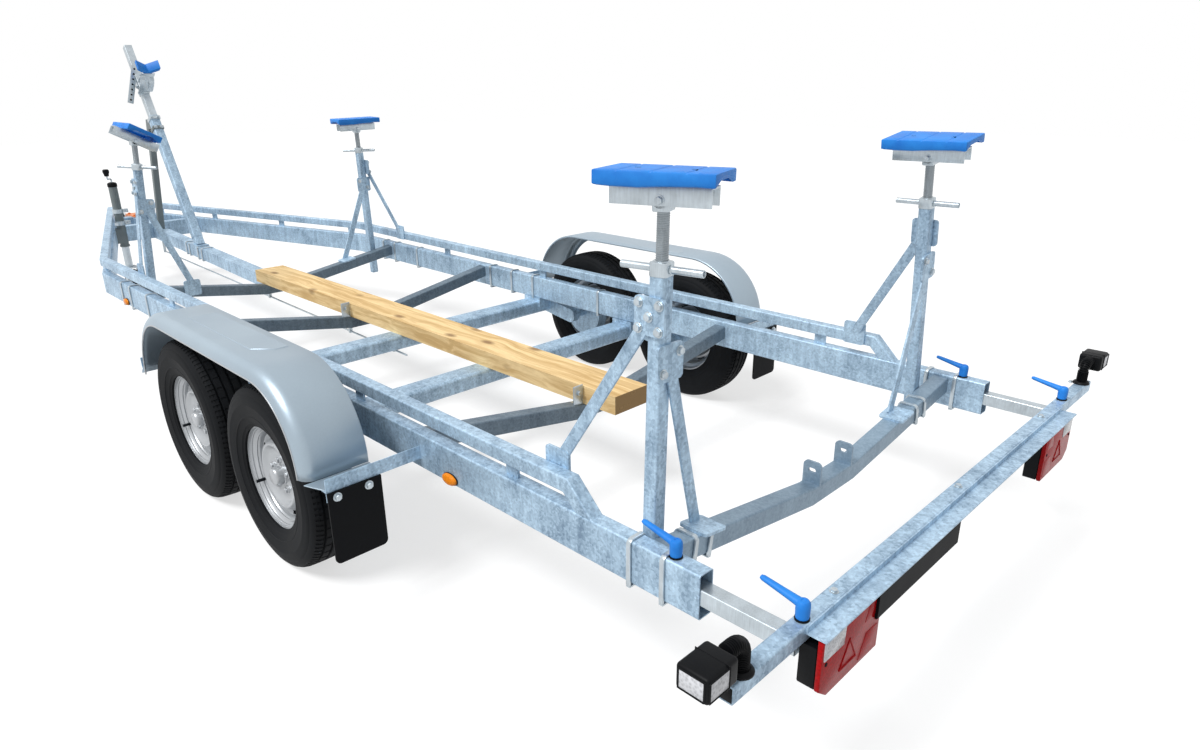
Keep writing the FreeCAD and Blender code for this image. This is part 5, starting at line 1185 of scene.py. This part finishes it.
def add_marker_lamp(piece, side):
    """A marker lamp at a bar's end: ribbed stalk bent outwards, black housing and two clear windows."""
    foot = at(BAR_PLACE, side * MARKER_FOOT, BAR_TOP)
    out = Y_AXIS * side
    flange = [(0.0, 0.0), (0.0270, 0.0), (0.0270, 0.004), (0.0240, 0.008), (0.0190, 0.010)]
    piece.add(turned(flange, 32), Matrix.Translation(foot), 1)
    line = [foot + Z_AXIS * (0.008 + 0.001 * step) for step in range(36)]
    bend_centre = foot + Z_AXIS * 0.043 + out * STALK_BEND
    line += arc(bend_centre, STALK_BEND, 180, 90, 34, out, Z_AXIS)[1:]
    line += [line[-1] + out * (0.0013 * step) for step in range(1, 18)]
    scales = [1.0 if (index // 2) % 2 == 0 else 0.76 for index in range(len(line))]
    piece.add(tube(line, STALK_RADIUS, 20, scales), None, 1)
    head = at(BAR_PLACE, side * MARKER_HEAD[0], MARKER_HEAD[1])
    piece.add(box((0.0740, 0.090, 0.0560), 0.008, 3), Matrix.Translation(head), 1)
    piece.add(box((0.0752, 0.0012, 0.0572), 0.0005), Matrix.Translation(head - out * 0.012), 1)
    end_window = Matrix.Translation(head + out * 0.0445)
    piece.add(box((0.054, 0.003, 0.038), 0.0012), end_window, 2)
    rear_window = Matrix.Translation(head - X_AXIS * 0.0368 + out * 0.012)
    piece.add(box((0.003, 0.052, 0.038), 0.0012), rear_window, 2)
    for border in (rectangle(head + out * 0.0450, X_AXIS, Z_AXIS, 0.029, 0.021),
                   rectangle(head - X_AXIS * 0.0372 + out * 0.012, out, Z_AXIS, 0.028, 0.021)):
        piece.add(tube(border, 0.0024, 6), None, 1)
    add_bolt(piece, foot - out * 0.016 + Z_AXIS * 0.001 + X_AXIS * 0.030, Z_AXIS, 3, 0.006)


def add_lever(piece, foot):
    """A clamp lever: domed hub on a washer, tapered arm rising forwards."""
    stand = Matrix.Translation(foot)
    piece.add(turned([(0.0, 0.0), (0.0165, 0.0), (0.0165, 0.004), (0.0120, 0.005)], 28), stand, 1)
    hub = [(0.0142, 0.004), (0.0152, 0.010), (0.0158, 0.030), (0.0150, 0.040), (0.0115, 0.045),
           (0.0065, 0.0462), (0.0060, 0.0450), (0.0, 0.0450)]
    piece.add(turned(hub, 28), stand)
    shares = {0.0: 1.0, 0.25: 0.86, 0.5: 0.76, 0.75: 0.68, 0.93: 0.62, 0.985: 0.44, 1.0: 0.12}
    line = [foot + Vector((0.006 + 0.099 * share, 0, 0.0365 + 0.018 * share)) for share in shares]
    section = [(x * 0.78, y) for x, y in circle(0.0125, 14)]
    piece.add(swept(section, path_stations(line, list(shares.values()))))


def build_levers():
    """The clamp levers on the light bar and on the rails."""
    for name, body, x, node in (("bar_lever_grips", "light_carrier", BAR_PLACE, "bar_levers"),
                                ("rail_lever_grips", "chassis", RAIL_LEVER_PLACE, "rail_levers")):
        piece = Piece(name, "blue", "black")
        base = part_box(node)[0].z
        for side in SIDES.values():
            add_lever(piece, Vector((MIDDLE + x * MM, side * RAIL_LINE * MM, base)))
        piece.done(body, "blue", node)


def build_bar_fittings():
    """Black plugs in the ends of the light bar, the plate holder's ribs and small screws."""
    piece = Piece("light_bar_caps", "black", "zinc")
    low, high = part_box("light_bar")
    centre = (low + high) / 2
    for side, end_y in ((1, high.y), (-1, low.y)):
        end = Vector((centre.x, end_y - side * 0.0042, centre.z))
        piece.add(box((0.0345, 0.010, 0.0345), 0.002), Matrix.Translation(end))
    for y in (-620, 40, 700):
        add_bolt(piece, at(BAR_PLACE, y, BAR_TOP), Z_AXIS, 1, 0.008)
    low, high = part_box("plate_holder")
    for z in (low.z + 0.003, high.z - 0.003):
        rib = Matrix.Translation((low.x + 0.0022, (low.y + high.y) / 2, z))
        piece.add(box((0.004, high.y - low.y - 0.004, 0.005), 0.0012), rib)
    piece.done("light_carrier", "black")


def build_side_markers():
    """Oval amber lenses on black seats, two on each rail."""
    piece = Piece("side_marker_lenses", "amber", "black")
    low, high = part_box("side_markers")
    oval = [(x * 0.0365, y * 0.0195) for x, y in circle(1.0, 28)]
    dome = {0.003: 0.94, 0.010: 0.90, 0.0135: 0.78, 0.0152: 0.55, 0.0157: 0.2}
    for side, outer in ((1, high.y), (-1, low.y)):
        for x in SIDE_MARKER_PLACES:
            foot = at(x, 0, SIDE_MARKER_HEIGHT)
            foot.y = outer - side * SIDE_MARKER_DEEP
            stand = axes(foot, X_AXIS, Z_AXIS * -side, Y_AXIS * side)
            piece.add(prism(oval, 0.004, 0.0008), stand, 1)
            stations = [shifted(stand, z=height) @ Matrix.Diagonal((share, share, 1, 1))
                        for height, share in dome.items()]
            piece.add(swept(oval, stations))
    piece.done("chassis", "amber", "side_markers")


class TRAILER_OT_lamps(bpy.types.Operator):
    """Builds the rear lamps, marker lamps, side markers, bar caps and clamp levers"""

    bl_idname = "trailer.lamps"
    bl_label = "Lamps and levers"

    def execute(self, context):
        build_rear_lamps()
        build_levers()
        build_bar_fittings()
        build_side_markers()
        return {"FINISHED"}


# Bow stand


MAST_FOOT = (3318, 0, 458)
MAST_SIDE = 0.029
MAST_TOP = 1.5505
BLOCK_HALF = 0.0735
BLOCK_BASE = 1.2285
BLOCK_HIGH = 0.0655
BLOCK_BEHIND = 0.211
BAND_FOOT = 0.022
BAND_STEPS = 12
# Reach and drop of each bent band under the block, and its distance from the mast's middle
BLOCK_BANDS = ((0.176, 0.062, 0.034), (0.140, 0.046, -0.034))
HOLED_BAR_ENDS = ((3940, 14, 1688), (3940, 91, 1428))
HOLED_BAR_HOLES = 7
COLLARS = {0.905: 1, 0.982: 0}
STAND_BOLT = 0.010
CLAMP_BOLT = 0.009


def mast_frame():
    """The frame of the bow mast: Z up along it from the stand's foot, Y left, X ahead and down."""
    way = Vector(JOINTS["bow_mast_slide"]["axis"]).normalized()
    return axes(at(*MAST_FOOT), Y_AXIS.cross(way), Y_AXIS, way)


def flat_bar(line, wide, thick):
    """A flat bar, lying across the trailer, along a row of points in the plane of X and Z."""
    stations = []
    for index, point in enumerate(line):
        way = (line[min(index + 1, len(line) - 1)] - line[max(index - 1, 0)]).normalized()
        stations.append(axes(point, Y_AXIS, way.cross(Y_AXIS), way))
    half, flat = wide / 2, thick / 2
    return swept([(-half, -flat), (half, -flat), (half, flat), (-half, flat)], stations)


def build_bow_block():
    """The moulded V on its two bent bands, its plate and its strut."""
    stand = mast_frame()
    piece = Piece("bow_block_rubber", "blue", "zinc")
    half = BLOCK_HALF
    outline = [(-half, 0.0595), (-half, 0.0245), (0, -0.0345), (half, 0.0245), (half, 0.0595), (0, 0)]
    seat = shifted(stand, -BLOCK_BEHIND, 0, BLOCK_BASE) @ axes(Vector((0, 0, 0)), Y_AXIS, -X_AXIS, Z_AXIS)
    piece.add(prism(outline, BLOCK_HIGH, 0.005, 3), seat)
    for reach, drop, y in BLOCK_BANDS:
        turns = (math.radians(90 * step / BAND_STEPS) for step in range(BAND_STEPS + 1))
        line = [stand @ Vector((-BAND_FOOT - (reach - BAND_FOOT) * math.sin(turn), y,
                                BLOCK_BASE + 0.004 - drop * math.cos(turn))) for turn in turns]
        piece.add(flat_bar(line, 0.034, 0.004), None, 1)
    plate = shifted(stand, 0.070 - BLOCK_BEHIND, 0, BLOCK_BASE - 0.002)
    piece.add(box((0.120, 0.096, 0.004), 0.0012), plate, 1)
    strut = [stand @ Vector((-0.020, 0, BLOCK_BASE - 0.050)),
             stand @ Vector((0.030 - BLOCK_BEHIND, 0, BLOCK_BASE + 0.006))]
    piece.add(flat_bar(strut, 0.040, 0.008), None, 1)
    piece.done("bow_mast", "blue", "bow_block")


def build_mast_fittings():
    """The perforated bar beside the bow block, its holes painted as near-black discs of shade, and the clamp,
    bolts and black cap of the bow mast.
    """
    stand = mast_frame()
    piece = Piece("bow_mast_brackets", "zinc", "hollow", "black")
    top, foot = (at(*place) for place in HOLED_BAR_ENDS)
    long = (foot - top).length
    way = (foot - top).normalized()
    bar = axes(top, way, way.cross(X_AXIS) * -1, X_AXIS * -1)
    piece.add(box((long, 0.040, 0.005), 0.0015), shifted(bar, long / 2))
    # Near-black discs on the bar paint the shade in its holes
    for step in range(HOLED_BAR_HOLES):
        piece.add(rod(0.0068, 0.0006, 14), shifted(bar, long * (0.1 + 0.135 * step), 0, 0.0022), 1)
    for along in (1.19, 1.235):
        add_bolt(piece, stand @ Vector((0.0, MAST_SIDE, along)), Y_AXIS, 0, STAND_BOLT)
        add_bolt(piece, stand @ Vector((0.0, 0.003 - MAST_SIDE, along)), -Y_AXIS, 0, STAND_BOLT)
    piece.add(box((0.060, 0.062, 0.030), 0.004), shifted(stand, z=1.188))
    piece.add(box((0.0445, 0.0445, 0.004), 0.001), shifted(stand, z=MAST_TOP), 2)
    piece.done("bow_mast", "zinc")


def build_stand_clamps():
    """Collars of the bow stand's sleeve, and the straps that hold the stand on the spine beam."""
    stand = mast_frame()
    piece = Piece("bow_stand_collars", "zinc", "dark")
    for along, finish in COLLARS.items():
        piece.add(box((0.074, 0.074, 0.026), 0.004), shifted(stand, z=along), finish)
        for side in (-1, 1):
            spot = stand @ Vector((-0.037, side * 0.020, along))
            add_nut_end(piece, spot, stand.to_3x3() @ -X_AXIS, 0, CLAMP_BOLT)
    for x in (3190, 3262, 3420, 3480):
        point, normal = face_on_line("spine_beam", at(x, 0, 700), -Z_AXIS)
        add_strap(piece, point - normal * 0.040, normal.cross(-Y_AXIS).normalized(), normal, 0.0805, 0.0805)
    piece.done("chassis", "zinc")


# Clamps and bolts of the frame


RAIL_MIDDLE = 469
RAIL_STRAPS = {
    1: (-1706, -1812, 1730, 2000, 2142, -94, -150, 550, 606),
    -1: (-1706, -1812, 47, 566, 752, 948, 1730, 2000, 2142),
}
BEAM_PLACE = -1759
BEAM_STRAPS = {1: (640, 700), -1: (545, 605)}
EAR_PLACES = (1030, -740)
PLATE_BOLTS = ((-0.030, -0.030), (0.030, -0.030), (0.030, 0.030), (-0.030, 0.030), (0, 0))
NECK_BOLTS = ((-0.040, 0.022), (0.018, -0.022))
FLAP_INSETS = (0.030, 0.134)
FLAP_BOLT = 0.0105


def add_post_bolts(piece, corner, radius):
    """Five bolts on the clamp plate of a post, and two on its neck further down."""
    end, side_name = corner.split("_")
    side = SIDES[side_name]
    pin = Vector(JOINTS[f"pad_{corner}_tilt"]["pos_m"])
    lean = Vector(JOINTS[f"spindle_{corner}_lift"]["axis"]).normalized()
    drop = PADS[corner][3] * MM
    plate = pin - lean * (drop + 0.090) + X_AXIS * (-0.010 if end == "front" else 0.010)
    starts = [Vector((plate.x + dx, side * 1.30, plate.z + dz)) for dx, dz in PLATE_BOLTS]
    bolts_on(piece, f"posts_{end}", starts, (0, -side, 0), radius)
    neck = pin - lean * (drop + 0.198)
    starts = [Vector((neck.x - 0.3, neck.y + side * dy, neck.z + dz)) for dy, dz in NECK_BOLTS]
    bolts_on(piece, f"posts_{end}", starts, X_AXIS, radius)


def add_plank_ear(piece, place, radius):
    """An angle beside the keel plank, with its bolt."""
    low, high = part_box("keel_plank")
    foot = Vector((at(place, 0, 0).x, high.y + 0.028, low.z))
    piece.add(box((0.005, 0.050, 0.082), 0.002), Matrix.Translation(foot + Vector((-0.020, 0, 0.041))))
    piece.add(box((0.045, 0.050, 0.005), 0.002), Matrix.Translation(foot + Z_AXIS * 0.0025))
    add_bolt(piece, foot + Vector((-0.0225, 0, 0.052)), -X_AXIS, 0, radius)


def build_frame_clamps():
    """Straps around the rails and beams, and the bolts that show on posts, ears and flaps."""
    piece = Piece("frame_clamps", "zinc")
    radius = bpy.context.scene.trailer_fittings.bolt
    for side, places in RAIL_STRAPS.items():
        for x in places:
            add_strap(piece, at(x, side * RAIL_LINE, RAIL_MIDDLE), X_AXIS, Z_AXIS, 0.0505, 0.1205)
    for corner in CORNERS:
        add_post_bolts(piece, corner, radius)
    for side, places in BEAM_STRAPS.items():
        for y in places:
            point, normal = face_on_line("rear_beam", at(BEAM_PLACE, side * y, 900), -Z_AXIS)
            add_strap(piece, point - normal * 0.030, normal.cross(X_AXIS), normal, 0.0605, 0.0605)
    for place in EAR_PLACES:
        add_plank_ear(piece, place, radius)
    low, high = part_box("mud_flaps")
    for side in SIDES.values():
        starts = [Vector((low.x - 0.2, side * (high.y - inset), high.z - 0.018)) for inset in FLAP_INSETS]
        bolts_on(piece, "mud_flaps", starts, X_AXIS, FLAP_BOLT)
    piece.done("chassis", "zinc")


# Jockey wheel and overrun


JOCKEY_PLACE = (4100, 281, 0)
JOCKEY_CLAMPS = (0.565, 0.655)
CRANK = ((0, 0, 0.008), (0, 0, 0.030), (-0.012, 0.008, 0.040), (-0.060, 0.036, 0.042),
         (-0.070, 0.042, 0.050), (-0.070, 0.042, 0.064))
SHAFT_HEIGHT = 457
SLEEVE_PLACE = 4800
BAND_PLACES = (4686, 4886)
HOUSING_BOLTS = ((4600, 32), (4600, -32), (4740, 32), (4740, -32))


def build_jockey_fittings():
    """The crank with its knob, the tube's cap, clamps and collar."""
    piece = Piece("jockey_clamps", "dark", "black", "zinc")
    low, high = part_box("jockey_tube")
    centre = at(*JOCKEY_PLACE)
    top = centre + Z_AXIS * high.z
    cap = [(0.0, 0.0125), (0.016, 0.0125), (0.028, 0.008), (0.033, 0.0), (0.033, -0.020), (0.0302, -0.022)]
    piece.add(turned(cap, 36), Matrix.Translation(top), 1)
    crank = [top + Vector(point) for point in CRANK]
    piece.add(tube(crank, 0.006, 10), None, 2)
    knob = [(0.0, 0.0), (0.0130, 0.0), (0.0165, 0.006), (0.0165, 0.014), (0.0200, 0.022), (0.0225, 0.034),
            (0.0215, 0.044), (0.0160, 0.050), (0.0, 0.051)]
    piece.add(turned(knob, 28), Matrix.Translation(crank[-1]), 1)
    for z in JOCKEY_CLAMPS:
        ring = [(0.0300, z - 0.016), (0.0360, z - 0.015), (0.0360, z + 0.015), (0.0300, z + 0.016)]
        piece.add(turned(ring, 36), Matrix.Translation(centre), 2)
        lug = Matrix.Translation(centre + Vector((-0.006, -0.046, z)))
        piece.add(box((0.022, 0.046, 0.028), 0.003), lug, 2)
        add_nut_end(piece, centre + Vector((-0.017, -0.052, z)), -X_AXIS, 2, 0.008)
    collar = [(0.0300, low.z + 0.016), (0.0340, low.z + 0.014), (0.0340, low.z + 0.001),
              (0.0300, low.z + 0.001)]
    piece.add(turned(collar, 36), Matrix.Translation(centre))
    piece.done("chassis", "dark")


def build_overrun_fittings():
    """The orange sleeve, the bands and the bolts of the overrun housing."""
    piece = Piece("overrun_trim", "orange", "zinc")
    sleeve = [(0.0515, 0.0), (0.0570, 0.003), (0.0570, 0.080), (0.0515, 0.083)]
    piece.add(turned(sleeve, 44), facing(at(SLEEVE_PLACE, 0, SHAFT_HEIGHT), X_AXIS))
    band = [(0.0515, 0.0), (0.0545, 0.001), (0.0545, 0.011), (0.0515, 0.012)]
    for x in BAND_PLACES:
        piece.add(turned(band, 44), facing(at(x, 0, SHAFT_HEIGHT), X_AXIS), 1)
    bolts_on(piece, "overrun_housing", [at(x, y, 900) for x, y in HOUSING_BOLTS], -Z_AXIS, STAND_BOLT)
    piece.done("chassis", "orange")


class TRAILER_OT_bow_stand(bpy.types.Operator):
    """Builds the V block and its brackets, the frame's clamps, and the jockey and overrun fittings"""

    bl_idname = "trailer.bow_stand"
    bl_label = "Bow stand, clamps and front end"

    def execute(self, context):
        build_bow_block()
        build_mast_fittings()
        build_stand_clamps()
        build_frame_clamps()
        build_jockey_fittings()
        build_overrun_fittings()
        return {"FINISHED"}


# Finishes and stage


class TRAILER_OT_finishes(bpy.types.Operator):
    """Makes the finishes and puts them on the nodes of the frame"""

    bl_idname = "trailer.finishes"
    bl_label = "Finishes"

    def execute(self, context):
        make_materials()
        dress_frame_nodes()
        return {"FINISHED"}


SKY = 0.52
FLOOR_HALF = 22.0
FLOOR_DROP = 0.0005
FLOOR_GREY = (0.42, 0.42, 0.42, 1)
FLOOR_GLOW = 0.62
WHITE = (1, 1, 1, 1)
SUN_WAY = (0.10, 0.60, 0.85)
SUN_STRENGTH = 2.7
SUN_WIDTH = math.radians(22)


def background_share(nodes):
    """1 for what the camera sees straight, in gloss or through glass, and 0 for light on the trailer."""
    path = nodes.tree.nodes.new("ShaderNodeLightPath")
    camera, glossy, through = (Value(nodes, path.outputs[name])
                               for name in ("Is Camera Ray", "Is Glossy Ray", "Is Transmission Ray"))
    seen = nodes.add("ShaderNodeMath", {"operation": "MAXIMUM"}, {0: camera, 1: glossy})
    return nodes.add("ShaderNodeMath", {"operation": "MAXIMUM"}, {0: seen, 1: through})


class WorldNodes(Nodes):
    """The nodes of the world."""

    def __init__(self, world):
        world.use_nodes = True
        self.tree = world.node_tree
        self.tree.nodes.clear()


def make_world():
    """An even white sky that lights the trailer at a share of its own brightness."""
    world = bpy.data.worlds.new("studio")
    bpy.context.scene.world = world
    nodes = WorldNodes(world)
    share = background_share(nodes)
    strength = share * (1.0 - SKY) + SKY
    sky = nodes.add("ShaderNodeBackground", None, {"Color": WHITE, "Strength": strength})
    nodes.add("ShaderNodeOutputWorld", None, {"Surface": sky})


def make_floor():
    """A white floor that takes the trailer's shadow."""
    low, high = CAD_BOX
    shape = bmesh.new()
    bmesh.ops.create_grid(shape, x_segments=2, y_segments=2, size=FLOOR_HALF,
                          matrix=Matrix.Translation(((low[0] + high[0]) / 2, 0, low[2] - FLOOR_DROP)))
    data = bpy.data.meshes.new("floor")
    shape.to_mesh(data)
    shape.free()
    floor = bpy.data.objects.new("floor", data)
    bpy.context.scene.collection.objects.link(floor)
    nodes = Nodes("floor white")
    share = background_share(nodes)
    diffuse = nodes.add("ShaderNodeBsdfDiffuse", None, {"Color": FLOOR_GREY})
    glow = nodes.add("ShaderNodeEmission", None, {"Color": WHITE, "Strength": share * FLOOR_GLOW})
    both = nodes.add("ShaderNodeAddShader", None, {0: diffuse, 1: glow})
    nodes.add("ShaderNodeOutputMaterial", None, {"Surface": both})
    data.materials.append(nodes.material)


def make_sun():
    """One soft sun from the near side and above."""
    data = bpy.data.lights.new("window", "SUN")
    data.energy = SUN_STRENGTH
    data.angle = SUN_WIDTH
    lamp = bpy.data.objects.new("window", data)
    lamp.rotation_euler = Z_AXIS.rotation_difference(Vector(SUN_WAY).normalized()).to_euler()
    bpy.context.scene.collection.objects.link(lamp)


def make_camera():
    """The photograph's camera, from its place, heading, dip and roll."""
    sizes = bpy.context.scene.trailer_camera
    forward = Vector((math.cos(sizes.heading) * math.cos(sizes.dip),
                      math.sin(sizes.heading) * math.cos(sizes.dip), -math.sin(sizes.dip)))
    right = Vector((math.sin(sizes.heading), -math.cos(sizes.heading), 0))
    up = right.cross(forward)
    right, up = (right * math.cos(sizes.roll) + up * math.sin(sizes.roll),
                 up * math.cos(sizes.roll) - right * math.sin(sizes.roll))
    data = bpy.data.cameras.new("camera")
    data.sensor_width = 36.0
    data.lens = sizes.lens
    data.clip_end = 100.0
    camera = bpy.data.objects.new("camera", data)
    camera.matrix_world = axes(Vector(sizes.place), right, up, -forward)
    bpy.context.scene.collection.objects.link(camera)
    bpy.context.scene.camera = camera


class TRAILER_OT_stage(bpy.types.Operator):
    """Sets the floor, the light and the camera"""

    bl_idname = "trailer.stage"
    bl_label = "Stage"

    def execute(self, context):
        make_world()
        make_floor()
        make_sun()
        make_camera()
        context.scene.view_settings.view_transform = "Standard"
        return {"FINISHED"}


class TRAILER_PT_panel(bpy.types.Panel):
    """Lists the steps that dress the trailer"""

    bl_idname = "TRAILER_PT_panel"
    bl_label = "Boat trailer"
    bl_space_type = "VIEW_3D"
    bl_region_type = "UI"
    bl_category = "Trailer"

    def draw(self, context):
        for operator in OPERATORS:
            self.layout.operator(operator.bl_idname)
        for group in GROUPS:
            column = self.layout.column()
            for name in GROUPS[group].__annotations__:
                column.prop(getattr(context.scene, group), name)


GROUPS = {
    "trailer_colours": TrailerColours,
    "trailer_wheels": WheelSizes,
    "trailer_fittings": FittingSizes,
    "trailer_camera": CameraSizes,
}
OPERATORS = (
    TRAILER_OT_stage,
    TRAILER_OT_finishes,
    TRAILER_OT_wheels,
    TRAILER_OT_pads,
    TRAILER_OT_fenders,
    TRAILER_OT_lamps,
    TRAILER_OT_bow_stand,
)


def register():
    for group, kind in GROUPS.items():
        bpy.utils.register_class(kind)
        setattr(bpy.types.Scene, group, PointerProperty(type=kind))
    for kind in (*OPERATORS, TRAILER_PT_panel):
        bpy.utils.register_class(kind)


def unregister():
    for kind in (TRAILER_PT_panel, *reversed(OPERATORS)):
        bpy.utils.unregister_class(kind)
    for group, kind in reversed(list(GROUPS.items())):
        delattr(bpy.types.Scene, group)
        bpy.utils.unregister_class(kind)


def main():
    register()
    for operator in OPERATORS:
        group, name = operator.bl_idname.split(".")
        getattr(getattr(bpy.ops, group), name)()


if __name__ == "__main__":
    main()
